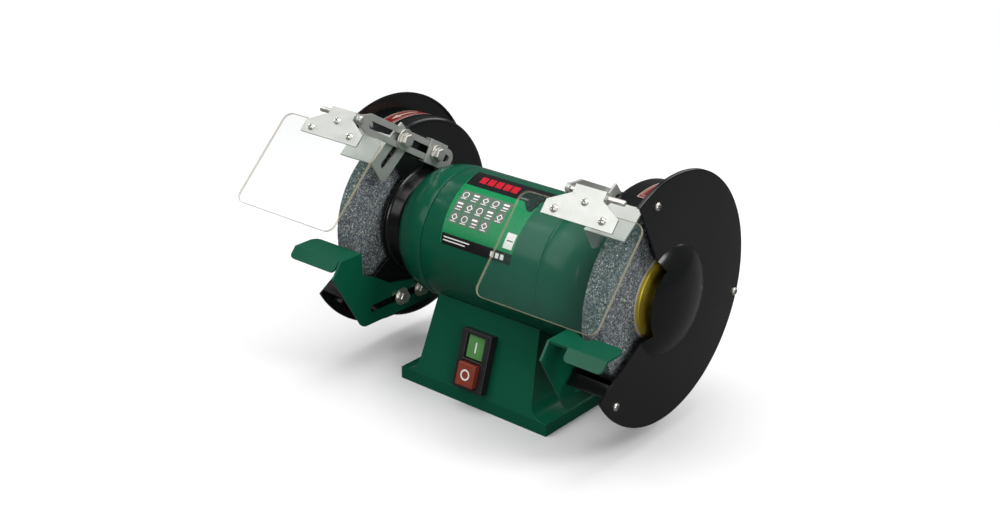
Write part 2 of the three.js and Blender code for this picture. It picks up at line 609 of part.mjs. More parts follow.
/** The slotted bar that carries the shield's rod, in the arm's own line: u along it, v across. */
function shieldArm(side) {
  const half = ARM.halfWidth;
  const slotEnd = ARM_BOLTS[1] + ARM.beyondBolt;
  const shape = new THREE.Shape();
  shape.absarc(0, 0, ARM.cap, 1.5 * Math.PI, 0.5 * Math.PI, true);
  shape.lineTo(ARM.taper, half);
  shape.absarc(slotEnd, 0, half, Math.PI / 2, -Math.PI / 2, true);
  shape.lineTo(ARM.taper, -half);
  shape.closePath();
  shape.holes.push(slotOutline([ARM.slotStart, 0], [slotEnd, 0], BOLT_HOLE));
  const geometry = slab(shape, ARM_X, ARM_X + ARM.sheet).applyMatrix4(SIDEWAYS);
  const [y, z] = rodSpot(side);
  return solid(geometry.rotateX(radians(-side.armAngle)).translate(0, y, z))
    .subtract(bar(ROD.radius + RUNNING, ARM_X - 1, ARM_X + ARM.sheet + 1, y, z));
}

/** The rod that the shield tilts on, with a head inside the arm. */
function shieldRod(side) {
  const [y, z] = rodSpot(side);
  const headSeat = ARM_X - GAP;
  return turned([[0, headSeat - 1.6], [ROD.head - 1, headSeat - 1.6], [ROD.head, headSeat - 1], [ROD.head, headSeat],
    [ROD.radius, headSeat], [ROD.radius, side.rodEnd - 0.6], [ROD.radius - 0.6, side.rodEnd], [0, side.rodEnd]],
  16, y, z);
}

/** The folded saddle over the arm, held by the arm's rear bolt. */
function armSaddle(side) {
  const inner = ARM.halfWidth + SADDLE.clearance;
  const outer = inner + SADDLE.thickness;
  const half = SADDLE.length / 2;
  const web = ARM_X - GAP;
  const s = ARM_BOLTS[1];
  const section = [
    [[s - half, -outer], [s + half, outer], web - SADDLE.thickness, web],
    [[s - half, inner], [s + half, outer], web - 0.2, GUARD_X - GAP],
    [[s - half, -outer], [s + half, -inner], web - 0.2, GUARD_X - GAP],
  ];
  const parts = section.map(([[u0, v0], [u1, v1], x0, x1]) => {
    const plate = slab(outline([[u0, v0], [u1, v0], [u1, v1], [u0, v1]]), x0, x1).applyMatrix4(SIDEWAYS);
    return solid(plate.rotateX(radians(-side.armAngle)).translate(0, ...rodSpot(side)));
  });
  const [y, z] = armBoltSpots(side)[1];
  return parts.reduce((whole, part) => whole.add(part))
    .subtract(bar(BOLT.shank + GAP, web - 5, web + 5, y, z, 12));
}

function addArm(side) {
  const { name, sign } = side;
  const [front, rear] = armBoltSpots(side);
  const through = GUARD_X + SHEET - ARM_X + 5;
  add(spindleLevel, `${name}_spark_deflector`, geometryOf(sparkDeflector(side), sign), BRIGHT_ZINC);
  add(spindleLevel, `${name}_shield_arm`, geometryOf(shieldArm(side), sign), BRIGHT_ZINC);
  add(spindleLevel, `${name}_shield_rod`, geometryOf(shieldRod(side), sign), BRIGHT_ZINC);
  add(spindleLevel, `${name}_arm_saddle`, geometryOf(armSaddle(side), sign), BRIGHT_ZINC);
  add(spindleLevel, `${name}_arm_front_bolt`, geometryOf(hexBolt(ARM_X, front, through, 9.5), sign), BRIGHT_ZINC);
  const saddleFace = ARM_X - GAP - SADDLE.thickness;
  add(spindleLevel, `${name}_arm_rear_bolt`,
    geometryOf(hexBolt(saddleFace, rear, through + SADDLE.thickness), sign), BRIGHT_ZINC);
}

// ---- Eye shields --------------------------------------------------------------------------------

/** The clamp plate with its knuckle round the rod: x is across, y up the plate, z off its face. */
function shieldBracket(side) {
  const b = BRACKET;
  const x = side.bracket;
  const right = [[b.lobeHalf, -b.lobeBottom], [b.lobeHalf, -b.lobeTop], [b.knuckleHalf, -b.shoulder],
    [b.knuckleHalf, 3]];
  const left = right.map(([u, v]) => [-u, v]).reverse();
  const shape = outline([...right, ...left].map(([u, v]) => [x + u, v]));
  const plate = solid(slab(shape, b.offset, b.offset + b.thickness));
  const knuckle = bar(b.knuckleRadius, x - b.knuckleHalf, x + b.knuckleHalf);
  const bore = bar(ROD.radius + RUNNING, x - b.knuckleHalf - 1, x + b.knuckleHalf + 1);
  return plate.add(knuckle).subtract(bore);
}

/** The clear rectangle with rounded corners, clamped under the bracket. */
function eyeShield() {
  const half = SHIELD.width / 2;
  const c = SHIELD.corner;
  const low = -SHIELD.top - SHIELD.height;
  const shape = new THREE.Shape();
  shape.absarc(SHIELD.centre + half - c, low + c, c, -Math.PI / 2, 0, false);
  shape.absarc(SHIELD.centre + half - c, -SHIELD.top - c, c, 0, Math.PI / 2, false);
  shape.absarc(SHIELD.centre - half + c, -SHIELD.top - c, c, Math.PI / 2, Math.PI, false);
  shape.absarc(SHIELD.centre - half + c, low + c, c, Math.PI, 1.5 * Math.PI, false);
  shape.closePath();
  const face = BRACKET.offset - GAP;
  return solid(slab(shape, face - SHIELD.thickness, face));
}

function addShield(side) {
  const hinge = new THREE.Group();
  hinge.position.set(0, ...rodSpot(side));
  hinge.rotation.x = radians(side.tilt);
  spindleLevel.add(hinge);
  add(hinge, `${side.name}_shield_bracket`, geometryOf(shieldBracket(side), side.sign), BRIGHT_ZINC);
  add(hinge, `${side.name}_eye_shield`, geometryOf(eyeShield(), side.sign), CLEAR_SHEET);
}

// ---- Base ---------------------------------------------------------------------------------------

/** Front outline of the pedestal: skirt, ledge, concave fillet and a sloping side. */
function frontOutline(inset, bottom, top) {
  const slope = (BASE_HALF.x - LEDGE.flat - LEDGE.fillet - PEDESTAL_TOP_HALF.x) / PEDESTAL_RISE;
  const edge = BASE_HALF.x - inset;
  const skirt = SKIRT_HEIGHT - inset;
  const foot = BASE_HALF.x - LEDGE.flat - inset;
  const wall = foot - LEDGE.fillet;
  const fillet = LEDGE.fillet;
  const topHalf = wall - slope * (top - skirt);
  const shape = new THREE.Shape();
  shape.moveTo(edge, bottom);
  shape.lineTo(edge, skirt);
  shape.lineTo(foot, skirt);
  shape.quadraticCurveTo(wall + 1, skirt + 1, wall - slope * fillet, skirt + fillet);
  shape.lineTo(topHalf, top);
  shape.lineTo(-topHalf, top);
  shape.lineTo(-(wall - slope * fillet), skirt + fillet);
  shape.quadraticCurveTo(-wall - 1, skirt + 1, -foot, skirt);
  shape.lineTo(-edge, skirt);
  shape.lineTo(-edge, bottom);
  shape.closePath();
  return shape;
}

/** Side outline of the pedestal: an upright skirt and sloping front and back. */
function sideOutline(inset, bottom, top) {
  const edge = BASE_HALF.y - inset;
  const skirt = SKIRT_HEIGHT - inset;
  const topHalf = edge - FRONT_SLOPE * (top - skirt);
  return outline([[edge, bottom], [edge, skirt], [topHalf, top], [-topHalf, top], [-edge, skirt], [-edge, bottom]]);
}

/** A pedestal-shaped block: what the front and side outlines have in common. */
function pedestalBlock(inset, bottom, top) {
  const reach = 2 * BASE_HALF.x;
  const front = solid(slab(frontOutline(inset, bottom, top), -reach, reach, 5).rotateX(Math.PI / 2));
  return front.intersect(sideSlab(sideOutline(inset, bottom, top), -reach, reach));
}

/** Places something modelled flat on the sloping front: x across, y up the face, z out of it. */
function onFrontFace(geometry) {
  const y = -(BASE_HALF.y - FRONT_SLOPE * (SWITCH.z - SKIRT_HEIGHT));
  return geometry.rotateX(Math.PI / 2 - FRONT_ANGLE).translate(0, y, SWITCH.z);
}

/** The hollow pedestal with its motor saddle, switch opening, cable hole and screw pillars. */
function pedestal() {
  const top = SPINDLE_HEIGHT - 0.5 * MOTOR_RADIUS;
  const saddle = bar(MOTOR_RADIUS + GAP, -2 * BASE_HALF.x, 2 * BASE_HALF.x, 0, SPINDLE_HEIGHT, 48);
  const cavity = pedestalBlock(BASE_WALL, -1, CAVITY_TOP);
  const w = SWITCH.bodyWidth / 2 + GAP;
  const h = SWITCH.bodyHeight / 2 + GAP;
  const opening = solid(onFrontFace(slab(outline([[w, -h], [w, h], [-w, h], [-w, -h]]), -SWITCH.depth - 1, 5)));
  const cableHole = solid(onRear(new THREE.CylinderGeometry(GLAND.radius + GAP, GLAND.radius + GAP, 30, 16)));
  const drill = new THREE.CylinderGeometry(LEAD_HOLE_RADIUS, LEAD_HOLE_RADIUS, 60, 16);
  const leads = solid(drill.rotateX(Math.PI / 2).translate(0, 0, CAVITY_TOP));
  let shape = pedestalBlock(0, 0, top).subtract(cavity).subtract(saddle)
    .subtract(opening).subtract(cableHole).subtract(leads);
  for (const [sx, sy] of [[1, 1], [1, -1], [-1, 1], [-1, -1]]) {
    const x = sx * (BASE_HALF.x - BASE_WALL - PILLAR_RADIUS + 1);
    const y = sy * (BASE_HALF.y - BASE_WALL - PILLAR_RADIUS + 1);
    const pillar = new THREE.CylinderGeometry(PILLAR_RADIUS, PILLAR_RADIUS, SKIRT_HEIGHT - BOTTOM_PLATE - 1, 10)
      .rotateX(Math.PI / 2).translate(x, y, (SKIRT_HEIGHT + BOTTOM_PLATE) / 2 + GAP - 0.5);
    shape = shape.add(solid(pillar));
  }
  return shape;
}

/** Places something modelled upright on the rear wall, pointing back. */
function onRear(geometry) {
  const y = BASE_HALF.y - FRONT_SLOPE * (GLAND.z - SKIRT_HEIGHT);
  return geometry.rotateX(FRONT_ANGLE).translate(GLAND.x, y, GLAND.z);
}

/** The bushing that the supply cable would leave by. */
function cableGland() {
  const half = GLAND.length / 2;
  const profile = [[GLAND.bore, -half], [GLAND.radius, -half], [GLAND.radius, GAP], [GLAND.flange, GAP],
    [GLAND.flange - 1, 3], [GLAND.bore + 2, half], [GLAND.bore, half]];
  const points = [...profile, profile[0]].map(([r, y]) => new THREE.Vector2(r, y));
  return solid(onRear(new THREE.LatheGeometry(points, 16)));
}

/** The switch body: a rim on the pedestal's face with two wells for the buttons. */
function switchHousing() {
  const rim = outline(rectangle(SWITCH.width, SWITCH.height, 0));
  const body = outline(rectangle(SWITCH.bodyWidth, SWITCH.bodyHeight, 0));
  let shape = solid(slab(rim, GAP, SWITCH.proud)).add(solid(slab(body, -SWITCH.depth, GAP + 1)));
  for (const y of [BUTTON.pitch / 2, -BUTTON.pitch / 2]) {
    const well = rectangle(BUTTON.width + 2 * BUTTON.clearance, BUTTON.height + 2 * BUTTON.clearance, y);
    shape = shape.subtract(solid(slab(outline(well), -SWITCH.depth + 2, SWITCH.proud + 1)));
  }
  return shape;
}

/** Corners of a rectangle centred on x = 0 and a given y. */
function rectangle(width, height, y) {
  const w = width / 2;
  const h = height / 2;
  return [[w, y - h], [w, y + h], [-w, y + h], [-w, y - h]];
}

/** A push button whose face stands proud of the housing's rim by a given amount. */
function button(y, proud) {
  const face = SWITCH.proud + proud;
  return slab(outline(rectangle(BUTTON.width, BUTTON.height, y)), face - BUTTON.thickness, face);
}

function addBase() {
  add(group, 'base_pedestal', geometryOf(pedestal()), GREEN_ENAMEL);
  const x = BASE_HALF.x - BASE_WALL - GAP;
  const y = BASE_HALF.y - BASE_WALL - GAP;
  add(group, 'bottom_plate', geometryOf(block([-x, -y, 0], [x, y, BOTTOM_PLATE])), BRIGHT_ZINC);
  add(group, 'cable_gland', geometryOf(cableGland()), BLACK_PLASTIC);
  add(group, 'switch_housing', onFrontFace(geometryOf(switchHousing())), BLACK_PLASTIC);
  add(group, 'start_button', onFrontFace(button(BUTTON.pitch / 2, START_PROUD)), START_GREEN);
  add(group, 'stop_button', onFrontFace(button(-BUTTON.pitch / 2, STOP_PROUD)), STOP_RED);
  const half = CAPACITOR.length / 2;
  const can = bar(CAPACITOR.radius, -half, half, 22, BOTTOM_PLATE + GAP + CAPACITOR.radius, 20);
  add(group, 'capacitor', geometryOf(can), GREY_CAN);
}

addBase();
addMotor();
for (const side of SIDES) {
  addWheelSet(side);
  addGuard(side);
  addToolRest(side);
  addArm(side);
  addShield(side);
}

export default group;
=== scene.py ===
"""A twin-wheel bench grinder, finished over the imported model.

Lengths in the sizes are millimetres, angles are degrees, and meshes are stored in metres. X runs
along the spindle, -Y is the operator's side and +Z is up. An angle round the spindle starts at +Y
and grows towards +Z, so the open front of a guard lies about 180 degrees.
"""
import logging
from dataclasses import dataclass
from enum import Enum

import bmesh
import bpy
import numpy as np
from mathutils import Matrix, Vector


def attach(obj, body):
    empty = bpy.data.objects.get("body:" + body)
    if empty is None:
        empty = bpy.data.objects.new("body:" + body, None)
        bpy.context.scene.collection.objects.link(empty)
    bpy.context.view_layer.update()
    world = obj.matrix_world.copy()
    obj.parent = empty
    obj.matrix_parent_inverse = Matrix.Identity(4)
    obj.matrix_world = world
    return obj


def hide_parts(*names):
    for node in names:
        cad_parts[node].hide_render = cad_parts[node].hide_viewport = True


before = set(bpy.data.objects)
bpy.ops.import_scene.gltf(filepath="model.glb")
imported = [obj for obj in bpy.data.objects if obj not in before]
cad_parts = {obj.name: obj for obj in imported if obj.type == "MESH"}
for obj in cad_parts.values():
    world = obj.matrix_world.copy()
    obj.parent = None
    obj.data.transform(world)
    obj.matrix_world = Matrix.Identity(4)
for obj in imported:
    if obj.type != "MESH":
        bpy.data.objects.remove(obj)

LOG = logging.getLogger("grinder")
Array = np.ndarray
Colour = tuple[float, float, float]
MM = 0.001
SPINDLE_HEIGHT = 120.0
SPINDLE_LINE = (0.0, SPINDLE_HEIGHT)   # y and z of the spindle
SMOOTH_ANGLE = 32.0                    # edges sharper than this stay sharp on curved pieces
PLATE_ANGLE = 30.0                     # the same on flat pieces and on copies of CAD nodes
ROUNDED_ANGLE = 35.0                   # edges sharper than this are rounded
SAME_POINT = 2e-6                      # points closer than this are one, in metres
NO_LENGTH = 1e-7                       # edges shorter than this are dropped, in metres


class Side(Enum):
    """The two ends of the grinder, by the sign of X."""

    RIGHT = 1
    LEFT = -1

    @property
    def word(self) -> str:
        """The prefix that the CAD nodes and bodies of this side carry."""
        return self.name.lower()


# ---- Shapes -------------------------------------------------------------------------------------


def object_from(name: str, verts: Array, faces: list | Array,
                smooth_angle: float = SMOOTH_ANGLE) -> bpy.types.Object:
    """Makes a mesh object from vertices in millimetres.

    Args:
        name: The piece's name.
        verts: Vertex positions, shape (n, 3).
        faces: Index rows, or lists of indices where the faces differ in size.
        smooth_angle: Edges sharper than this many degrees stay sharp.

    Returns:
        The new object, at the origin.
    """
    mesh = bpy.data.meshes.new(name)
    mesh.from_pydata((np.asarray(verts, float) * MM).tolist(), [], [list(map(int, f)) for f in faces])
    mesh.polygons.foreach_set("use_smooth", np.ones(len(mesh.polygons), bool))
    mesh.set_sharp_from_angle(angle=np.radians(smooth_angle))
    mesh.update()
    piece = bpy.data.objects.new(name, mesh)
    bpy.context.scene.collection.objects.link(piece)
    return piece


def grid_faces(rows: int, cols: int, wrap_rows: bool, wrap_cols: bool) -> Array:
    """Quads between neighbouring points of a grid: point (i, j) has the index i * cols + j.

    Args:
        rows: Number of rows.
        cols: Number of columns.
        wrap_rows: Joins the last row to the first.
        wrap_cols: Joins the last column to the first.

    Returns:
        Index quads, shape (number of row steps, number of column steps, 4).
    """
    i = np.arange(rows if wrap_rows else rows - 1)[:, None]
    j = np.arange(cols if wrap_cols else cols - 1)[None, :]
    ni, nj = (i + 1) % rows, (j + 1) % cols
    quads = [i * cols + j, i * cols + nj, ni * cols + nj, ni * cols + j]
    return np.stack(np.broadcast_arrays(*quads), axis=-1)


def surface(name: str, points: Array, wrap_rows: bool = False, wrap_cols: bool = False,
            keep: Array | None = None, smooth_angle: float = SMOOTH_ANGLE) -> bpy.types.Object:
    """Makes a piece from a grid of points, with coinciding points merged.

    Args:
        name: The piece's name.
        points: Positions, shape (rows, cols, 3), in millimetres.
        wrap_rows: Joins the last row to the first.
        wrap_cols: Joins the last column to the first.
        keep: Which faces stay, shape (row steps, column steps). All of them if None.
        smooth_angle: Edges sharper than this many degrees stay sharp.

    Returns:
        The new object.
    """
    rows, cols = points.shape[:2]
    quads = grid_faces(rows, cols, wrap_rows, wrap_cols)
    quads = quads.reshape(-1, 4) if keep is None else quads[keep]
    piece = object_from(name, points.reshape(-1, 3), quads, smooth_angle)
    merge(piece, smooth_angle)
    return piece


def merge(piece: bpy.types.Object, smooth_angle: float, dissolve: bool = False,
          outward: bool = False) -> None:
    """Joins coinciding points, drops loose ones and marks the sharp edges.

    Args:
        piece: The object whose mesh is tidied.
        smooth_angle: Edges sharper than this many degrees stay sharp.
        dissolve: Joins the triangles of each flat face into one face.
        outward: Turns every face outwards, on a closed mesh.
    """
    work = bmesh.new()
    work.from_mesh(piece.data)
    bmesh.ops.remove_doubles(work, verts=work.verts, dist=SAME_POINT)
    bmesh.ops.dissolve_degenerate(work, edges=work.edges, dist=NO_LENGTH)
    if dissolve:
        bmesh.ops.dissolve_limit(work, angle_limit=np.radians(1.0), verts=work.verts, edges=work.edges)
    bmesh.ops.delete(work, geom=[v for v in work.verts if not v.link_faces], context="VERTS")
    if outward:
        bmesh.ops.recalc_face_normals(work, faces=work.faces)
    work.to_mesh(piece.data)
    work.free()
    piece.data.polygons.foreach_set("use_smooth", np.ones(len(piece.data.polygons), bool))
    piece.data.set_sharp_from_angle(angle=np.radians(smooth_angle))
    piece.data.update()


def filleted(corners: list[tuple[float, float]], radii: list[float], steps: int = 5) -> Array:
    """A polyline whose inner corners are replaced by arcs that touch both of its legs.

    Each arc is a quadratic curve from the point one radius before the corner to the one after it,
    with the corner as its control point.

    Args:
        corners: The polyline's corners.
        radii: How far each inner corner is cut back; one fewer at each end than corners.
        steps: Points along each arc.

    Returns:
        The new polyline, shape (n, 2).
    """
    pts = np.asarray(corners, float)
    out = [pts[:1]]
    t = np.linspace(0, 1, steps)[:, None]
    for before, corner, after, radius in zip(pts[:-2], pts[1:-1], pts[2:], radii):
        if radius <= 0:
            out.append(corner[None])
            continue
        a = corner + (before - corner) * radius / np.linalg.norm(before - corner)
        b = corner + (after - corner) * radius / np.linalg.norm(after - corner)
        out.append((1 - t) ** 2 * a + 2 * t * (1 - t) * corner + t ** 2 * b)
    out.append(pts[-1:])
    return np.concatenate(out)


def revolve(profile: Array, angles: Array, side: int = 1,
            centre: tuple[float, float] = SPINDLE_LINE) -> Array:
    """Turns a profile of (x, r) points about a line along X.

    A point at angle t lies at (side * x, centre y + r cos t, centre z + r sin t).

    Args:
        profile: Shape (n, 2).
        angles: Angles in degrees, one column each.
        side: 1 for the right-hand end, -1 for its mirror image.
        centre: The line's y and z.

    Returns:
        Grid of points, shape (n, number of angles, 3).
    """
    p = np.asarray(profile, float)
    t = np.radians(angles)[None, :]
    x = side * p[:, :1] + 0 * t
    return np.stack([x, centre[0] + p[:, 1:] * np.cos(t), centre[1] + p[:, 1:] * np.sin(t)], axis=-1)


def lathe(name: str, profile: Array, segments: int = 96, side: int = 1,
          centre: tuple[float, float] = SPINDLE_LINE, closed: bool = False,
          smooth_angle: float = SMOOTH_ANGLE) -> bpy.types.Object:
    """A solid of revolution about a line along X, from a profile of (x, r) points.

    Args:
        name: The piece's name.
        profile: The outline, from axis to axis, or a closed ring section if closed.
        segments: Steps round the axis.
        side: 1 for the right-hand end, -1 for its mirror image.
        centre: The axis's y and z.
        closed: Joins the profile's last point to its first.
        smooth_angle: Edges sharper than this many degrees stay sharp.

    Returns:
        The new object, facing outwards.
    """
    angles = np.arange(segments) * 360 / segments
    piece = surface(name, revolve(profile, angles, side, centre), closed, True, smooth_angle=smooth_angle)
    merge(piece, smooth_angle, outward=True)
    return piece


def moved(points: Array, place: Matrix) -> Array:
    """Takes points through a placing matrix.

    Args:
        points: Positions, shape (..., 3).
        place: The matrix.

    Returns:
        The moved points, in the same shape.
    """
    m = np.array(place)
    return points @ m[:3, :3].T + m[:3, 3]


def facing(side: Side, turn: float, y: float = 0.0, z: float = 0.0) -> Matrix:
    """Places a plate square to the spindle.

    Args:
        side: The end of the grinder that its height grows towards.
        turn: Angle of its first axis round the spindle, in degrees.
        y: Its origin's y.
        z: Its origin's height over the spindle.

    Returns:
        The matrix from (u, v, height) to the part's frame, in millimetres.
    """
    c, n = np.cos(np.radians(turn)), np.sin(np.radians(turn))
    return Matrix(((0, 0, side.value, 0), (c, -n, 0, y), (n, c, 0, SPINDLE_HEIGHT + z), (0, 0, 0, 1)))


def plate(name: str, outline: Array, low: float, high: float, place: Matrix,
          width: float = 0.4) -> bpy.types.Object:
    """A flat plate: its outline at two heights, joined by side faces, with rounded edges.

    Args:
        name: The piece's name.
        outline: Corners (u, v), shape (n, 2), anticlockwise.
        low: Height of the lower face.
        high: Height of the upper face.
        place: Takes (u, v, height) to the part's frame, in millimetres.
        width: Width of the rounded edge.

    Returns:
        The new object.
    """
    n = len(outline)
    flat = np.concatenate([np.c_[outline, np.full(n, low)], np.c_[outline, np.full(n, high)]])
    i = np.arange(n)
    sides = np.stack([i, (i + 1) % n, (i + 1) % n + n, i + n], axis=1)
    faces = [*sides.tolist(), i[::-1].tolist(), (i + n).tolist()]
    piece = object_from(name, moved(flat, place), faces)
    merge(piece, PLATE_ANGLE, outward=True)
    bevel(piece, width)
    return piece


def round_rect(width: float, height: float, radius: float) -> Array:
    """Outline of a rectangle centred on the origin, with quarter circles of six points as corners.

    Args:
        width: Size along u.
        height: Size along v.
        radius: Radius of the corners.

    Returns:
        The outline, anticlockwise, shape (24, 2).
    """
    t = np.linspace(0, np.pi / 2, 6)
    quarter = np.stack([np.cos(t), np.sin(t)], axis=1) * radius
    turns = [np.array([[c, s], [-s, c]]) for c, s in ((1, 0), (0, 1), (-1, 0), (0, -1))]
    corners = [(1, 1), (-1, 1), (-1, -1), (1, -1)]
    inner = np.array([width / 2 - radius, height / 2 - radius])
    return np.concatenate([quarter @ turn + inner * np.array(c) for turn, c in zip(turns, corners)])


def bevel(piece: bpy.types.Object, width: float, segments: int = 2, angle: float = ROUNDED_ANGLE) -> None:
    """Rounds a piece's sharp edges with a Bevel modifier.

    Args:
        piece: The object.
        width: Width of the rounded edge, in millimetres.
        segments: Steps across it.
        angle: Edges sharper than this many degrees are rounded.
    """
    mod = piece.modifiers.new("rounded_edges", "BEVEL")
    mod.width = width * MM
    mod.segments = segments
    mod.limit_method = "ANGLE"
    mod.angle_limit = np.radians(angle)
    mod.use_clamp_overlap = True
    mod.harden_normals = True


def thicken(piece: bpy.types.Object, thickness: float) -> None:
    """Gives a sheet its thickness, inwards from its faces.

    Args:
        piece: The object.
        thickness: The sheet's thickness, in millimetres.
    """
    mod = piece.modifiers.new("sheet", "SOLIDIFY")
    mod.thickness = thickness * MM
    mod.offset = -1.0
    mod.use_even_offset = True


def rounded_copy(node: str, width: float = 0.4, segments: int = 2,
                 angle: float = ROUNDED_ANGLE) -> bpy.types.Object:
    """A copy of a CAD node with its flat faces whole and its edges rounded, standing for that node.

    Args:
        node: The CAD node's name.
        width: Width of the rounded edge.
        segments: Steps across it.
        angle: Edges sharper than this many degrees are rounded.

    Returns:
        The new object.
    """
    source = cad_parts[node]
    piece = bpy.data.objects.new(f"{node}_finished", source.data.copy())
    piece.data.materials.clear()
    bpy.context.scene.collection.objects.link(piece)
    merge(piece, PLATE_ANGLE, dissolve=True)
    bevel(piece, width, segments, angle)
    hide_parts(node)
    return piece


# ---- Finishes -----------------------------------------------------------------------------------


Socket = bpy.types.NodeSocket


class Graph:
    """The shader nodes of one material, with the few building blocks that the finishes share.

    The scale of every pattern is its number of features in a metre.
    """

    def __init__(self, name: str) -> None:
        """Starts a material that has only its shader and its output.

        Args:
            name: The material's name.
        """
        self.material = bpy.data.materials.new(name)
        self.material.use_nodes = True
        self.tree = self.material.node_tree
        self.shader = self.tree.nodes["Principled BSDF"]
        self.where = self.tree.nodes.new("ShaderNodeTexCoord").outputs["Object"]

    def fill(self, socket: Socket, value: object) -> None:
        """Links an input where the value is an output, and sets it otherwise.

        Args:
            socket: The input.
            value: An output, or what the input is to hold.
        """
        if isinstance(value, bpy.types.NodeSocket):
            self.tree.links.new(value, socket)
        else:
            socket.default_value = value

    def add(self, kind: str, **values: object) -> bpy.types.Node:
        """Adds a node and sets its properties, or fills its inputs where the name is an input's.

        Args:
            kind: The node's type.
            values: Properties by their own names, and inputs with _ for a space.

        Returns:
            The new node.
        """
        node = self.tree.nodes.new(kind)
        for key, value in values.items():
            if hasattr(node, key):
                setattr(node, key, value)
            else:
                self.fill(node.inputs[key.replace("_", " ").title()], value)
        return node

    def set(self, **values: object) -> None:
        """Fills inputs of the material's own shader.

        Args:
            values: Inputs with _ for a space: a number or colour is the same all over.
        """
        for key, value in values.items():
            self.fill(self.shader.inputs[key.replace("_", " ")], value)

    def stretched(self, scale: tuple[float, float, float]) -> Socket:
        """Object coordinates scaled by its own amount along each axis."""
        return self.add("ShaderNodeMapping", Scale=scale, Vector=self.where).outputs["Vector"]

    def noise(self, scale: float, detail: float = 3.0, rough: float = 0.55,
              vector: Socket | None = None) -> Socket:
        """Soft noise.

        Args:
            scale: How fine it is.
            detail: Levels of finer noise in it.
            rough: How strong the finer levels are.
            vector: Where it is read. The object's coordinates if None.

        Returns:
            Its value, about 0.5.
        """
        node = self.add("ShaderNodeTexNoise", Scale=scale, Detail=detail, Roughness=rough,
                        Vector=vector or self.where)
        return node.outputs["Fac"]

    def cells(self, scale: float) -> bpy.types.Node:
        """Grains, each with a colour of its own and a distance from its middle."""
        return self.add("ShaderNodeTexVoronoi", Scale=scale, Vector=self.where)

    def steps(self, value: Socket, stops: tuple[tuple[float, Colour], ...]) -> Socket:
        """One colour from each stop to the next.

        Args:
            value: What chooses the colour.
            stops: Where each colour starts, and the colour.

        Returns:
            The colour.
        """
        node = self.add("ShaderNodeValToRGB", Fac=value)
        bar = node.color_ramp
        bar.interpolation = "CONSTANT"
        while len(bar.elements) < len(stops):
            bar.elements.new(1.0)
        for element, (place, colour) in zip(bar.elements, stops):
            element.position = place
            element.color = (*colour, 1.0)
        return node.outputs["Color"]

    def span(self, value: Socket, low: float, high: float, start: float = 0.3, end: float = 0.7) -> Socket:
        """Spreads a value between start and end over low to high.

        Args:
            value: The value.
            low: What start becomes.
            high: What end becomes.
            start: One end of the value's own range.
            end: The other end.

        Returns:
            The new value.
        """
        return self.add("ShaderNodeMapRange", Value=value, From_Min=start, From_Max=end,
                        To_Min=low, To_Max=high).outputs["Result"]

    def mix(self, factor: Socket, a: Colour | Socket, b: Colour | Socket) -> Socket:
        """Mixes two colours.

        Args:
            factor: 0 for a and 1 for b.
            a: One colour.
            b: The other.

        Returns:
            The mixed colour.
        """
        node = self.add("ShaderNodeMix", data_type="RGBA", Factor=factor)
        for socket, value in ((node.inputs[6], a), (node.inputs[7], b)):
            self.fill(socket, value if isinstance(value, bpy.types.NodeSocket) else (*value, 1.0))
        return node.outputs[2]

    def varied(self, value: Socket, colour: Colour, low: float, high: float) -> Socket:
        """A colour that goes from low to high times its lightness as the value grows."""
        return self.mix(self.span(value, 0.0, 1.0), shade(colour, low), shade(colour, high))

    def bumps(self, *layers: tuple[Socket, float, float]) -> None:
        """Gives the shader its relief.

        Args:
            layers: Height, strength and depth in millimetres of each layer.
        """
        last = None
        for height, strength, depth in layers:
            node = self.add("ShaderNodeBump", Strength=strength, Distance=depth * MM, Height=height)
            if last is not None:
                self.fill(node.inputs["Normal"], last)
            last = node.outputs["Normal"]
        self.set(Normal=last)


def shade(colour: Colour, factor: float) -> Colour:
    """The colour made lighter or darker."""
    return tuple(min(1.0, c * factor) for c in colour)


@dataclass(frozen=True)
class Finish:
    """What all finishes share: a name, a colour and how rough the surface is at its smoothest."""

    name: str
    colour: Colour
    rough: float

    def paint(self, graph: Graph) -> None:
        """Adds the finish's own nodes."""
        raise NotImplementedError

    def material(self) -> bpy.types.Material:
        """Makes the material the first time that it is asked for.

        Returns:
            The material.
        """
        name = f"{self.name}_finish"
        known = bpy.data.materials.get(name)
        if known is not None:
            return known
        graph = Graph(name)
        graph.set(Base_Color=(*self.colour, 1.0), Roughness=self.rough)
        self.paint(graph)
        return graph.material

    def on(self, *pieces: bpy.types.Object) -> None:
        """Puts the finish on pieces, in place of what they had.

        Args:
            pieces: The objects.
        """
        for piece in pieces:
            piece.data.materials.clear()
            piece.data.materials.append(self.material())

    def dress(self, body: str, slot: str, *pieces: bpy.types.Object, stands_for: str = "") -> None:
        """Finishes pieces and says what they move with.

        Args:
            body: The body that they ride on.
            slot: The record's material slot; not used.
            pieces: The objects.
            stands_for: The CAD node that the first of them stands for, if any.
        """
        self.on(*pieces)
        if stands_for:
            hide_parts(stands_for)
        for piece in pieces:
            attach(piece, body)
            LOG.info("%s rides on %s", piece.name, body)


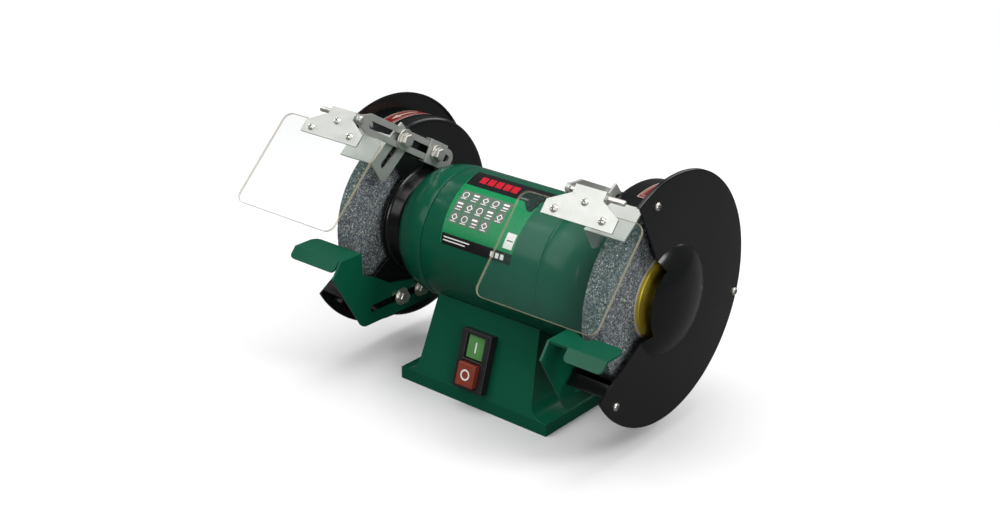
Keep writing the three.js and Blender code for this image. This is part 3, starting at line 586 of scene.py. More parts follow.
@dataclass(frozen=True)
class Enamel(Finish):
    """Stove enamel: a faint orange peel, a few dust specks and slightly uneven gloss."""

    peel: float = 0.035
    grain: float = 620.0
    coat: float = 0.0
    shine: float = 0.3
    drift: float = 14.0
    wear: float = 55.0
    dust: float = 260.0

    def paint(self, graph: Graph) -> None:
        """Colour drifts slowly, gloss varies with handling marks, and the peel is relief."""
        marks = graph.noise(self.wear, 6.0, 0.7, graph.stretched((1.0, 1.0, 2.2)))
        graph.set(Base_Color=graph.varied(graph.noise(self.drift, 2.0), self.colour, 0.9, 1.1),
                  Roughness=graph.span(marks, self.rough, self.rough + 0.12, 0.45, 0.85),
                  Coat_Weight=self.coat, Coat_Roughness=0.05, Specular_IOR_Level=self.shine)
        specks = graph.cells(self.dust).outputs["Distance"]
        graph.bumps((graph.noise(self.grain, 2.0), self.peel, 0.12),
                    (graph.span(specks, 1.0, 0.0, 0.0, 0.06), 0.015, 0.02))


@dataclass(frozen=True)
class Plated(Finish):
    """Plated steel: fine drawn lines, cloudy passivation and small handling scratches."""

    tint: Colour = (1.0, 0.9, 0.7)
    lines: tuple[float, float, float] = (0.15, 1.0, 1.0)
    cloud: float = 0.35
    metal: float = 1.0
    blotches: float = 70.0
    drawing: float = 1500.0
    wear: float = 160.0

    def paint(self, graph: Graph) -> None:
        """Cloudy tint in the colour, drawn lines in roughness and relief."""
        blotches = graph.noise(self.blotches, 3.0, 0.5)
        tinted = tuple(c * t for c, t in zip(self.colour, self.tint))
        drawn = graph.noise(self.drawing, 3.0, 0.6, graph.stretched(self.lines))
        worn = graph.noise(self.wear, 3.0, 0.55)
        graph.set(Metallic=self.metal, Roughness=graph.span(worn, self.rough, self.rough + 0.14),
                  Base_Color=graph.mix(graph.span(blotches, 0.0, self.cloud * 2, 0.3, 0.8),
                                       self.colour, tinted))
        graph.bumps((drawn, 0.1, 0.03), (worn, 0.04, 0.05))


@dataclass(frozen=True)
class Turned(Finish):
    """Machined steel, with tool marks that run round the spindle's axis."""

    marks: float = 1400.0
    stains: float = 90.0

    def paint(self, graph: Graph) -> None:
        """Rings that depend on the distance along and from the spindle."""
        apart = graph.add("ShaderNodeSeparateXYZ", Vector=graph.where)
        low = graph.add("ShaderNodeMath", operation="SUBTRACT", Value=apart.outputs["Z"])
        low.inputs[1].default_value = SPINDLE_HEIGHT * MM
        flat = graph.add("ShaderNodeCombineXYZ", X=apart.outputs["Y"], Y=low.outputs[0])
        far = graph.add("ShaderNodeVectorMath", operation="LENGTH", Vector=flat.outputs[0])
        ring = graph.add("ShaderNodeCombineXYZ", X=apart.outputs["X"], Y=far.outputs["Value"])
        rings = graph.noise(self.marks, 2.0, 0.6, ring.outputs[0])
        stain = graph.noise(self.stains, 4.0)
        graph.set(Metallic=1.0, Roughness=graph.span(stain, self.rough, self.rough + 0.2),
                  Base_Color=graph.mix(graph.span(stain, 0.0, 0.5), self.colour, shade(self.colour, 0.6)))
        graph.bumps((rings, 0.15, 0.05))


@dataclass(frozen=True)
class Abrasive(Finish):
    """Bonded grit: pale, dark and tinted grains with open pores between them."""

    grains: float = 820.0
    finer: float = 2.3
    patches: float = 900.0
    open: float = 430.0
    pore: Colour = (0.025, 0.028, 0.032)
    stops: tuple[tuple[float, Colour], ...] = (
        (0.0, (0.015, 0.018, 0.022)), (0.2, (0.068, 0.078, 0.088)), (0.44, (0.165, 0.183, 0.194)),
        (0.58, (0.09, 0.128, 0.175)), (0.68, (0.38, 0.40, 0.385)), (0.80, (0.175, 0.21, 0.145)),
        (0.87, (0.72, 0.73, 0.70)), (0.97, (0.36, 0.26, 0.155)))

    def paint(self, graph: Graph) -> None:
        """One colour a grain, darker pores, and relief from the coarse grains and the pores."""
        coarse, fine = (graph.cells(scale) for scale in (self.grains, self.grains * self.finer))
        one, two = (graph.steps(cells.outputs["Color"], self.stops) for cells in (coarse, fine))
        both = graph.mix(graph.span(graph.noise(self.patches, 1.0), 0.0, 1.0, 0.42, 0.58), one, two)
        pores = graph.noise(self.open, 4.0, 0.7)
        graph.set(Base_Color=graph.mix(graph.span(pores, 0.7, 0.0, 0.3, 0.52), both, self.pore),
                  Roughness=graph.span(pores, 0.8, 1.0), Specular_IOR_Level=0.25)
        graph.bumps((coarse.outputs["Distance"], 0.6, 0.5), (pores, 0.5, 0.6))


@dataclass(frozen=True)
class Moulded(Finish):
    """Moulded plastic with a fine spark-eroded grain."""

    grain: float = 0.12
    touches: float = 120.0
    erosion: float = 2600.0

    def paint(self, graph: Graph) -> None:
        """A fine grain in relief, and gloss that varies where fingers touch it."""
        touch = graph.noise(self.touches, 4.0)
        graph.set(Base_Color=graph.varied(touch, self.colour, 0.9, 1.12),
                  Roughness=graph.span(touch, self.rough, self.rough + 0.15))
        graph.bumps((graph.noise(self.erosion, 2.0), self.grain, 0.06))


@dataclass(frozen=True)
class ClearSheet(Finish):
    """Clear polycarbonate, thin enough not to bend what lies behind it, with a faint haze and scratches."""

    alpha: float = 0.07
    shine: float = 0.12
    haze: float = 14.0
    scratches: float = 900.0

    def paint(self, graph: Graph) -> None:
        """A see-through body whose haze drifts a little; the scratches are thin stretched noise."""
        lines = graph.noise(self.scratches, 4.0, 0.6, graph.stretched((0.04, 1.0, 1.0)))
        haze = graph.noise(self.haze, 2.0)
        graph.set(Specular_IOR_Level=self.shine, Alpha=graph.span(haze, self.alpha, self.alpha * 1.2),
                  Roughness=graph.span(haze, self.rough, self.rough + 0.06))
        graph.bumps((lines, 0.01, 0.01))


@dataclass(frozen=True)
class Printed(Finish):
    """Ink on a glossy self-adhesive film."""

    ink: float = 500.0
    film: float = 90.0
    ripple: float = 180.0

    def paint(self, graph: Graph) -> None:
        """Slightly uneven ink under a glossy film."""
        graph.set(Specular_IOR_Level=0.25,
                  Base_Color=graph.varied(graph.noise(self.ink, 3.0), self.colour, 0.93, 1.07),
                  Roughness=graph.span(graph.noise(self.film, 3.0), self.rough, self.rough + 0.1))
        graph.bumps((graph.noise(self.ripple, 2.0), 0.02, 0.1))


@dataclass(frozen=True)
class WoundWire(Finish):
    """Varnished magnet wire laid side by side, or the edges of stacked sheets."""

    pitch: float = 900.0
    metal: float = 0.9
    varnish: float = 60.0

    def paint(self, graph: Graph) -> None:
        """Bands along the spindle, with varnish of uneven depth."""
        bands = graph.add("ShaderNodeTexWave", Scale=self.pitch / 6.0, Distortion=0.6,
                          bands_direction="X", Vector=graph.where)
        varnish = graph.noise(self.varnish, 4.0)
        graph.set(Metallic=self.metal, Roughness=graph.span(varnish, self.rough, self.rough + 0.25),
                  Base_Color=graph.varied(varnish, self.colour, 1.0, 0.55))
        graph.bumps((bands.outputs["Fac"], 0.5, 0.2))


EVEN = (1.0, 1.0, 1.0)
GREEN = Enamel("green_enamel", (0.0037, 0.077, 0.041), 0.2, coat=0.05, shine=0.16)
BLACK = Enamel("black_enamel", (0.0045, 0.005, 0.0048), 0.2, peel=0.04, grain=480.0, shine=0.36)
ZINC = Plated("bright_zinc", (0.50, 0.515, 0.485), 0.32, tint=(0.84, 0.85, 0.84), metal=0.62)
FASTENER = Plated("zinc_fastener", (0.62, 0.62, 0.59), 0.26, tint=(0.95, 0.9, 0.8), lines=EVEN, metal=0.85)
YELLOW = Plated("yellow_zinc", (0.75, 0.60, 0.06), 0.3, tint=(0.9, 0.8, 0.9), lines=EVEN, metal=0.7)
STEEL = Turned("turned_steel", (0.5, 0.5, 0.5), 0.25)
GRIT = Abrasive("grey_grit", (0.2, 0.22, 0.24), 0.9)
BLOTTER = Printed("blotter_paper", (0.42, 0.4, 0.34), 0.7)
HOUSING = Moulded("black_plastic", (0.0085, 0.0085, 0.009), 0.35)
START = Moulded("start_green", (0.075, 0.235, 0.065), 0.28, grain=0.04)
STOP = Moulded("stop_red", (0.21, 0.034, 0.018), 0.28, grain=0.04)
MARK = Printed("white_mark", (0.8, 0.8, 0.76), 0.35)
CLEAR = ClearSheet("clear_sheet", (0.06, 0.17, 0.13), 0.04)
RIM = ClearSheet("clear_rim", (0.40, 0.36, 0.25), 0.12, alpha=0.55)
# Black ink for the label's print; also the near-black plates that are painted shade in the screws' cross
# recesses.
BLACK_INK_AND_SHADE = Printed("black_ink_and_shade", (0.008, 0.008, 0.009), 0.22)
LABEL_GREEN = Printed("label_green", (0.004, 0.20, 0.066), 0.25)
LABEL_GREY = Printed("label_grey", (0.115, 0.135, 0.12), 0.3)
LABEL_RED = Printed("label_red", (0.42, 0.008, 0.02), 0.28)
ARROW_RED = Printed("arrow_red", (0.15, 0.008, 0.009), 0.3)
ARROW_PALE = Printed("arrow_pale", (0.40, 0.33, 0.28), 0.4)
CAN = Plated("capacitor_can", (0.6, 0.6, 0.6), 0.3, tint=(0.9, 0.9, 0.95))
STACK = WoundWire("sheet_stack", (0.26, 0.26, 0.27), 0.4, pitch=3000.0)
COPPER = WoundWire("copper_wire", (0.62, 0.25, 0.1), 0.3)


# ---- Sub-assemblies -----------------------------------------------------------------------------


FILM = 0.05                      # thickness of one printed film
Edges = tuple[float, float, float, float]
Points = tuple[tuple[float, float], ...]


def cylinder_patch(name: str, x: Edges, angles: tuple[float, float], radius: float,
                   level: int) -> bpy.types.Object:
    """A thin film on a cylinder about the spindle, with a straight slanted edge at each end.

    The point (a, b) of the unit square lies at the angle between the two angles at b, and at the x
    between the left and right edges at a, where each edge runs straight from its first to its
    second x as b grows. It has 3 rows along the spindle and 24 columns round it.

    Args:
        name: The piece's name.
        x: Left edge at the first and second angle, then right edge at the first and second.
        angles: First and second angle round the spindle.
        radius: Radius of the surface that it sticks to.
        level: Films under it.

    Returns:
        The new object.
    """
    b = np.linspace(0, 1, 24)[None, :, None]
    a = np.linspace(0, 1, 3)[:, None, None]
    left = x[0] + (x[1] - x[0]) * b
    right = x[2] + (x[3] - x[2]) * b
    t = np.radians(angles[0] + (angles[1] - angles[0]) * b)
    across = left + (right - left) * a
    r = radius + FILM + FILM * level + 0 * across
    points = np.concatenate([across, r * np.cos(t), SPINDLE_HEIGHT + r * np.sin(t)], axis=2)
    if angles[1] < angles[0]:
        points = points[:, ::-1]
    return surface(name, points[::-1] if right.mean() < left.mean() else points)


@dataclass
class Motor:
    """The shell, its two end bells, the label and everything inside.

    A roll is a rounded end: points (in from the end, in from the surface).
    """

    radius: float = 57.2
    half: float = 59.85
    wall: float = 2.0
    shell_roll: Points = ((0.0, 0.7), (0.25, 0.2), (0.9, 0.0))
    bell_start: float = 60.15
    bell_end: float = 98.0
    bell_wall: float = 2.6
    bell_roll: Points = ((0.0, 0.9), (0.3, 0.25), (1.0, 0.0))
    face: float = 36.0
    straight: float = 5.0
    bore: float = 10.5
    boss_start: float = 80.0
    boss_radius: float = 21.8
    seat_radius: float = 17.8
    seat_depth: float = 4.7
    blocks: int = 5
    block_pitch: float = 8.2
    panel_rows: Points = ((121.5, 5), (132.0, 5), (142.5, 4))
    panel_pitch: float = 10.4

    def build(self) -> None:
        """Makes the shell, the bells and the label, and dresses the hidden parts."""
        self.shell()
        for side in Side:
            self.bell(side)
        self.label()
        self.inside()

    def shell(self) -> None:
        """The tube round the stator, its ends rolled over slightly."""
        r, x = self.radius, self.half
        left = [(-x + a, r - b) for a, b in self.shell_roll]
        right = [(x - a, r - b) for a, b in reversed(self.shell_roll)]
        ring = [(-x, r - self.wall), *left, *right, (x, r - self.wall)]
        piece = lathe("motor_shell", np.array(ring), 160, closed=True, smooth_angle=50)
        GREEN.dress("body", "green_enamel", piece, stands_for="motor_housing")

    def bell(self, side: Side) -> None:
        """A rounded end bell: a straight lip, a quarter-ellipse shoulder and a flat face.

        Args:
            side: Its end of the motor.
        """
        t = np.linspace(0, np.pi / 2, 22)
        start, end, inside = self.bell_start + self.straight, self.bell_end, self.radius - self.bell_wall
        outer = np.stack([start + (end - start) * np.sin(t),
                          self.face + (self.radius - self.face) * np.cos(t)], axis=1)
        inner = np.stack([start + (end - self.wall - start) * np.sin(t[::-1]),
                          self.face + (inside - self.face) * np.cos(t[::-1])], axis=1)
        lip = [(self.bell_start, inside)]
        lip += [(self.bell_start + a, self.radius - b) for a, b in self.bell_roll]
        step = end - self.seat_depth
        hub = [(end, self.bore), (step, self.bore), (step, self.seat_radius),
               (self.boss_start, self.seat_radius), (self.boss_start, self.boss_radius),
               (end - self.wall, self.boss_radius)]
        piece = lathe(f"{side.word}_bell", np.concatenate([lip, outer, hub, inner]), 160, side.value,
                      closed=True, smooth_angle=40)
        GREEN.dress("body", "green_enamel", piece, stands_for=f"{side.word}_end_bell")

    def film(self, name: str, finish: Finish, x: Edges, angles: tuple[float, float], level: int) -> None:
        """One printed area of the label.

        Args:
            name: The piece's name.
            finish: Its ink.
            x: Left edge at the first and second angle, then the right edge.
            angles: First and second angle round the spindle.
            level: Films under it.
        """
        finish.dress("body", "green_enamel", cylinder_patch(name, x, angles, self.radius, level))

    def label(self) -> None:
        """A generic rating label: dark header and footer, a green field and rows of plain marks."""
        self.film("label_field", LABEL_GREEN, (-46.0, -39.5, 33.0, 33.0), (88.0, 166.0), 1)
        self.film("label_header", BLACK_INK_AND_SHADE, (-46.5, -43.0, 36.5, 32.0), (88.0, 110.0), 2)
        self.film("label_header_tip", BLACK_INK_AND_SHADE, (18.0, 27.0, 33.0, 31.0), (110.0, 119.0), 2)
        self.film("label_footer", BLACK_INK_AND_SHADE, (-39.5, -38.5, 33.0, 33.0), (157.0, 166.0), 2)
        self.film("label_window", MARK, (22.5, 22.0, 31.5, 31.0), (141.0, 154.0), 3)
        self.film("label_window_bar", BLACK_INK_AND_SHADE, (24.0, 24.0, 30.0, 30.0), (147.0, 147.8), 4)
        for col in range(self.blocks):
            x = -36.0 + self.block_pitch * col
            self.film(f"label_block_{col + 1}", LABEL_RED, (x, x + 2.4, x + 6.6, x + 9.0), (95.0, 104.5), 3)
        self.film("label_header_note", LABEL_GREY, (12.0, 12.5, 20.0, 20.5), (106.5, 108.3), 3)
        for row, (angle, count) in enumerate(self.panel_rows):
            for col in range(count):
                x = -34.0 + 0.5 * row + col * self.panel_pitch
                self.panel(f"{row + 1}_{col + 1}", x, angle, (row + col) % 3)
        for row in range(2):
            end, angle = -10.0 - 4 * row, 2.6 * row
            self.film(f"label_foot_line_{row + 1}", MARK, (-37.0, -37.0, end, end),
                      (159.6 + angle, 160.5 + angle), 3)
        for col in range(3):
            x = 14.0 + 5.0 * col
            self.film(f"label_foot_mark_{col + 1}", MARK, (x - 1.8, x - 1.8, x + 1.6, x + 1.6),
                      (159.4, 163.6), 3)

    def panel(self, tag: str, x: float, angle: float, kind: int) -> None:
        """One grey panel of the label with a plain mark on it and a rule below.

        Args:
            tag: What sets its name apart.
            x: Its middle along the spindle.
            angle: Its middle round the spindle.
            kind: 0 for a ring, 1 for two bars and 2 for a lozenge.
        """
        self.film(f"label_panel_{tag}", LABEL_GREY, (x - 4.8, x - 4.4, x + 4.7, x + 4.7),
                  (angle - 4.9, angle + 4.9), 3)
        if kind == 0:
            self.loop(f"label_ring_{tag}", x, angle - 0.3, (2.35, 3.0), 28)
        elif kind == 1:
            self.film(f"label_mark_{tag}", MARK, (x - 3.0, x - 3.0, x + 2.4, x + 2.6),
                      (angle - 2.8, angle - 1.2), 4)
            self.film(f"label_line_{tag}", MARK, (x - 2.2, x - 2.2, x + 3.0, x + 3.0),
                      (angle + 0.6, angle + 1.6), 4)
        else:
            self.loop(f"label_lozenge_{tag}", x, angle - 0.2, (2.1, 3.1), 4)
        self.film(f"label_rule_{tag}", MARK, (x - 2.9, x - 2.9, x + 2.6, x + 2.6),
                  (angle + 3.3, angle + 3.9), 4)

    def loop(self, name: str, x: float, angle: float, radii: tuple[float, float], corners: int) -> None:
        """A printed loop: the point (r, t) lies at x + r cos t along, and r sin t round the shell.

        Args:
            name: The piece's name.
            x: Its middle along the spindle.
            angle: Its middle round the spindle.
            radii: Its inner and outer radius.
            corners: How many corners it has.
        """
        t = np.arange(corners) * 2 * np.pi / corners
        r = np.array(radii)[:, None]
        stand = self.radius + 5 * FILM
        turn = np.radians(angle) + r * np.sin(t) / stand
        points = np.stack([x + r * np.cos(t), stand * np.cos(turn),
                           SPINDLE_HEIGHT + stand * np.sin(turn)], axis=-1)
        MARK.dress("body", "green_enamel", surface(name, points, False, True))

    def inside(self) -> None:
        """Finishes for the parts that the shell hides."""
        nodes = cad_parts
        STACK.on(nodes["stator_core"], nodes["rotor_core"])
        COPPER.on(nodes["left_winding"], nodes["right_winding"])
        STEEL.on(nodes["spindle"], nodes["left_bearing"], nodes["right_bearing"])
        CAN.on(nodes["capacitor"])


@dataclass
class Base:
    """The pedestal, its floor plate with screws, and the cable's gland."""

    edge: float = 1.6
    floor: tuple[float, float, float] = (149.4, 116.4, 3.0)
    floor_heights: tuple[float, float] = (0.7, 2.0)
    screws: Points = ((70.5, 53.5), (70.5, -53.5), (-70.5, 53.5), (-70.5, -53.5))
    screw_head: Points = ((0.0, 0.1), (2.4, 0.1), (3.0, 0.4), (3.2, 0.8), (0.0, 0.8))

    def build(self) -> None:
        """Rounds the pedestal's edges and dresses the rest."""
        GREEN.dress("body", "green_enamel", rounded_copy("base_pedestal", self.edge, 4, 28.0))
        HOUSING.dress("body", "black_plastic", rounded_copy("cable_gland", 0.4))
        self.underside()

    def underside(self) -> None:
        """The floor plate, set up by the height of the screw heads that hold it.

        Each head is its outline (radius, height) turned about an upright line.
        """
        floor = plate("floor_plate", round_rect(*self.floor), *self.floor_heights, Matrix.Identity(4), 0.3)
        ZINC.dress("body", "zinc_sheet", floor, stands_for="bottom_plate")
        t = np.radians(np.arange(24) * 15)[None, :]
        outline = np.array(self.screw_head)
        r, height = outline[:, :1], outline[:, 1:] + 0 * t
        for i, (x, y) in enumerate(self.screws):
            points = np.stack([x + r * np.cos(t), y + r * np.sin(t), height], axis=-1)
            head = surface(f"floor_screw_{i + 1}", points, False, True)
            merge(head, PLATE_ANGLE, outward=True)
            FASTENER.dress("body", "zinc_sheet", head)


@dataclass
class Switch:
    """A magnetic push-button switch: a rim with two wells, a start and a stop button."""

    front_run: float = 20.5
    front_rise: float = 69.2
    base_depth: float = 61.5
    skirt: float = 10.8
    middle: float = 39.0
    pitch: float = 22.5
    start_face: float = 6.5
    stop_face: float = 14.0
    mark: float = 4.6
    line: float = 1.3
    sunk: float = 0.2
    proud: float = 0.12

    def place(self) -> Matrix:
        """From (across, up the face, out of it) to the part's frame."""
        slope = self.front_run / self.front_rise
        origin = (0.0, -(self.base_depth - slope * (self.middle - self.skirt)), self.middle)
        tilt = 90 - float(np.degrees(np.arctan(slope)))
        return Matrix.Translation(origin) @ Matrix.Rotation(np.radians(tilt), 4, "X")

    def build(self) -> None:
        """Makes the rounded housing and buttons and their marks."""
        HOUSING.dress("body", "black_plastic", rounded_copy("switch_housing", 0.9, 3))
        START.dress("start", "start_green", rounded_copy("start_button", 0.9, 3))
        STOP.dress("stop", "stop_red", rounded_copy("stop_button", 0.9, 3))
        self.line_mark()
        self.ring_mark()

    def line_mark(self) -> None:
        """The upright line on the start button."""
        outline = round_rect(self.line, 2 * self.mark, 0.6) + np.array([0.0, self.pitch / 2])
        low, high = self.start_face - self.sunk, self.start_face + self.proud
        MARK.dress("start", "start_green", plate("start_mark", outline, low, high, self.place(), 0.05))

    def ring_mark(self) -> None:
        """The ring on the stop button: a ring section (radius, height) carried round its centre."""
        low, high = self.stop_face - self.sunk, self.stop_face + self.proud
        inner, outer = self.mark - self.line, self.mark
        section = np.array([(inner, low), (outer, low), (outer, high), (inner, high)])
        t = np.radians(np.arange(48) * 7.5)[None, :]
        u = section[:, :1] * np.cos(t)
        v = section[:, :1] * np.sin(t) - self.pitch / 2
        points = moved(np.stack([u, v, section[:, 1:] + 0 * t], axis=-1), self.place())
        piece = surface("stop_mark", points, True, True)
        merge(piece, SMOOTH_ANGLE, outward=True)
        MARK.dress("stop", "stop_red", piece)


@dataclass
class WheelSet:
    """A grinding wheel, its two flanges, paper blotters and the nut."""

    side: Side
    radius: float = 75.0
    start: float = 118.0
    width: float = 20.0
    flange: float = 34.0
    flange_width: float = 5.5
    gap: float = 0.3
    bore: float = 8.05
    paper_bore: float = 9.0
    paper: float = 0.2
    paper_margin: float = 1.8

    def build(self) -> None:
        """Makes each turned piece of this end."""
        word, sign = self.side.word, self.side.value
        end = self.start + self.width
        outline = [(self.start, self.bore), (self.start, self.radius), (end, self.radius), (end, self.bore)]
        wheel = lathe(f"{word}_wheel", filleted(outline, [1.0, 1.0], 4), 192, sign, closed=True)
        GRIT.dress("rotor", "abrasive", wheel, stands_for=f"{word}_grinding_wheel")
        r = self.flange + self.paper_margin
        for x, name in ((self.start - 0.25, "inner"), (end + 0.05, "outer")):
            far = x + self.paper
            ring = np.array([(x, self.paper_bore), (x, r), (far, r), (far, self.paper_bore)])
            BLOTTER.dress("rotor", "abrasive", lathe(f"{word}_{name}_blotter", ring, 96, sign, closed=True))
        self.flanges(end)

    def flanges(self, end: float) -> None:
        """The dished flanges and the nut.

        Args:
            end: X of the wheel's outer face.
        """
        word, sign, f = self.side.word, self.side.value, self.flange
        dish = [(0.0, self.bore), (0.0, f * 0.45), (2.0, f * 0.56), (2.6, f - 0.4), (3.2, f), (5.1, f),
                (5.45, f - 0.3), (5.45, f - 7.0), (4.5, f - 8.0), (4.5, self.bore)]
        ring = filleted(dish, [1.0, 1.5, 0.3, 0.3, 0.2, 0.2, 0.3, 0.3], 4)
        inner = ring + np.array([self.start - self.gap - self.flange_width, 0.0])
        outer = np.stack([end + self.gap + self.flange_width - ring[:, 0], ring[:, 1]], axis=1)
        for name, profile, finish, slot in (("inner_flange", inner, STEEL, "bright_steel"),
                                            ("outer_flange", outer, YELLOW, "yellow_zinc")):
            piece = lathe(f"{word}_{name}_turned", profile, 128, sign, closed=True, smooth_angle=40)
            finish.dress("rotor", slot, piece, stands_for=f"{word}_{name}")
        FASTENER.dress("rotor", "bright_steel", rounded_copy(f"{word}_spindle_nut", 0.5))


@dataclass
class Guard:
    """One wheel's guard: a pressed drum, the domed cover, its screws and an arrow sticker."""

    side: Side
    floor: float = 98.3
    plate_x: float = 110.3
    wall_end: float = 146.2
    radius: float = 88.4
    sheet: float = 1.5
    cover_radius: float = 103.5
    cover_face: float = 148.0
    dome_radius: float = 45.0
    dome_height: float = 14.0
    mouth: tuple[float, float] = (119.0, 211.0)
    wall_mouth: float = 112.0
    hub: float = 49.0
    cover_hub: float = 36.0
    screws: Points = ((-26.95, 84.93), (-68.19, -64.8), (95.24, -24.5))
    lug_half: float = 6.0
    lug_tip: float = 101.5
    lip_reach: float = 10.0

    def angles(self) -> Array:
        """Angles round the spindle, with a line exactly at each edge of the mouth.

        Returns:
            The angles in degrees, growing, over one turn.
        """
        low, high = self.mouth
        parts = [np.linspace(self.wall_mouth, low, 5)[:-1], np.linspace(low, high, 60)[:-1],
                 np.linspace(high, self.wall_mouth + 360, 220)[:-1]]
        return np.concatenate(parts)

    def cut(self, profile: Array, angles: Array, hub: float, wall: bool) -> Array:
        """Which faces of a revolved profile stay, once the mouth is cut.

        Args:
            profile: The (x, r) points.
            angles: The columns' angles.
            hub: The mouth's inner radius.
            wall: Whether faces on the drum's wall open wider, up to the wall's own angle.

        Returns:
            True for each face that stays, shape (profile steps, columns).
        """
        mid_r = (profile[1:, 1] + profile[:-1, 1]) / 2
        mid_x = (profile[1:, 0] + profile[:-1, 0]) / 2
        mid_t = angles + np.diff(np.append(angles, angles[0] + 360)) / 2
        on_wall = wall & (mid_x > self.plate_x + 1.0) & (mid_r > self.radius - 3)
        start = np.where(on_wall, self.wall_mouth, self.mouth[0])[:, None]
        inside = (mid_t[None, :] > start) & (mid_t[None, :] < self.mouth[1]) & (mid_r[:, None] > hub)
        return ~inside

    def build(self) -> None:
        """Makes the drum, its lip and lugs, the cover, the screws and the sticker."""
        self.drum()
        self.lip()
        self.lugs()
        self.cover()
        self.fasteners()
        self.sticker()

    def sheet_from(self, name: str, profile: Array, hub: float, wall: bool) -> bpy.types.Object:
        """A revolved sheet with the mouth cut out, thickened inwards.

        Args:
            name: The piece's name.
            profile: The (x, r) points of its outer skin.
            hub: The mouth's inner radius.
            wall: Whether faces on the drum's wall open wider.

        Returns:
            The new object.
        """
        angles = self.angles()
        keep = self.cut(profile, angles, hub, wall)
        points = revolve(profile, angles, self.side.value)
        if self.side is Side.LEFT:
            points = points[:, ::-1]
            keep = np.roll(keep[:, ::-1], -1, axis=1)
        piece = surface(name, points, False, True, keep, 28.0)
        thicken(piece, self.sheet)
        bevel(piece, 0.35, 2, 50.0)
        return piece

    def drum(self) -> None:
        """The drum's outer skin runs from the hub up the dish, out over the side plate and along the wall."""
        corners = [(self.floor, 17.0), (self.floor, 41.0), (self.plate_x, 45.0), (self.plate_x, self.radius),
                   (self.wall_end, self.radius)]
        profile = filleted(corners, [2.5, 3.0, 5.0], 8)
        piece = self.sheet_from(f"{self.side.word}_drum", profile, self.hub, True)
        BLACK.dress("body", "black_enamel", piece, stands_for=f"{self.side.word}_guard_drum")

    def lip(self) -> None:
        """The wall's lower front end, turned outwards."""
        inner, outer, w = self.radius - self.sheet, self.radius + self.lip_reach, self.sheet
        corners = [(inner, -w), (outer, -w), (outer, 0), (inner, 0), (inner, -w)]
        place = facing(self.side, self.mouth[1] + 1)
        piece = plate(f"{self.side.word}_drum_lip", filleted(corners, [0.3, 0.3, 0.0], 3)[:-1],
                      self.plate_x + 3, self.wall_end, place)
        BLACK.dress("body", "black_enamel", piece)

    def lugs(self) -> None:
        """A tab under each cover screw, welded to the drum's wall."""
        foot, half = self.radius - 0.8, self.lug_half
        for i, (y, z) in enumerate(self.screws):
            tip = min(np.hypot(y, z) + half, self.lug_tip)
            outline = np.array([(foot, -half), (tip - 2, -half), (tip, -2), (tip, 2),
                                (tip - 2, half), (foot, half)])
            place = facing(self.side, np.degrees(np.arctan2(z, y)))
            piece = plate(f"{self.side.word}_lug_{i + 1}", outline, self.wall_end - self.sheet,
                          self.wall_end, place)
            BLACK.dress("body", "black_enamel", piece)

    def cover(self) -> None:
        """The cover's outer skin runs from the rolled rim in over the flat disc and up the dome.

        The dome's height over its base is h (1 - (r / R)^2)^0.8, and a filleted crease joins it
        to the disc.
        """
        f, big = self.cover_face, self.cover_radius
        rim = filleted([(f - 3.0, big), (f, big), (f, self.dome_radius + 6)], [1.6], 6)[:-1]
        u = np.linspace(1.0, 0.0, 34) ** 0.7
        dome = np.stack([f + self.dome_height * (1 - u ** 2) ** 0.8, self.dome_radius * u], axis=1)
        flat = np.linspace(self.dome_radius + 6, self.dome_radius + 1.5, 4)
        profile = np.concatenate([rim, np.stack([f + 0 * flat, flat], axis=1), dome])
        profile[np.argmin(abs(profile[:, 1] - self.cover_hub)), 1] = self.cover_hub
        profile[-1, 1] = 0.0
        piece = self.sheet_from(f"{self.side.word}_cover", profile, self.cover_hub, False)
        BLACK.dress("body", "black_enamel", piece, stands_for=f"{self.side.word}_guard_cover")

    def fasteners(self) -> None:
        """Pan-head screws, each a turned body with two crossed near-black plates set into its head: painted
        shade where the cross recess would be.
        """
        x = self.cover_face + 0.1
        head = filleted([(x - 6.0, 0.0), (x - 6.0, 1.9), (x, 1.9), (x, 3.4), (x + 1.5, 3.2), (x + 2.4, 0.0)],
                        [0.0, 0.0, 0.3, 1.4], 6)
        for i, (y, z) in enumerate(self.screws):
            node = f"{self.side.word}_cover_screw_{i + 1}"
            piece = lathe(f"{node}_turned", head, 28, self.side.value, (y, SPINDLE_HEIGHT + z))
            FASTENER.dress("body", "zinc_fastener", piece, stands_for=node)
            # Each near-black plate is painted shade standing in for the cross recess; the head itself is not
            # cut.
            for turn, name in ((20.0, "a"), (110.0, "b")):
                slot = plate(f"{node}_recess_{name}", round_rect(3.4, 0.8, 0.2), x + 1.2, x + 2.33,
                             facing(self.side, turn, y, z), 0.05)
                BLACK_INK_AND_SHADE.dress("body", "zinc_fastener", slot)

    def sticker(self) -> None:
        """A turning-direction sticker on the drum: pale edge, red field and a plain arrow."""
        parts = (("edge", ARROW_PALE, (125.5, 125.5, 139.5, 139.5), (69.0, 104.0), 1),
                 ("field", ARROW_RED, (126.3, 126.3, 138.7, 138.7), (69.6, 103.4), 2),
                 ("frame", ARROW_PALE, (127.5, 127.5, 137.5, 137.5), (71.0, 102.0), 3),
                 ("centre", ARROW_RED, (128.0, 128.0, 137.0, 137.0), (71.4, 101.6), 4),
                 ("shaft", ARROW_PALE, (131.4, 131.4, 133.6, 133.6), (77.0, 92.0), 5),
                 ("head", ARROW_PALE, (129.6, 132.4, 135.4, 132.6), (91.8, 98.0), 5))
        for name, finish, x, angles, level in parts:
            edges = tuple(self.side.value * v for v in x)
            piece = cylinder_patch(f"{self.side.word}_arrow_{name}", edges, angles, self.radius, level)
            finish.dress("body", "black_enamel", piece)


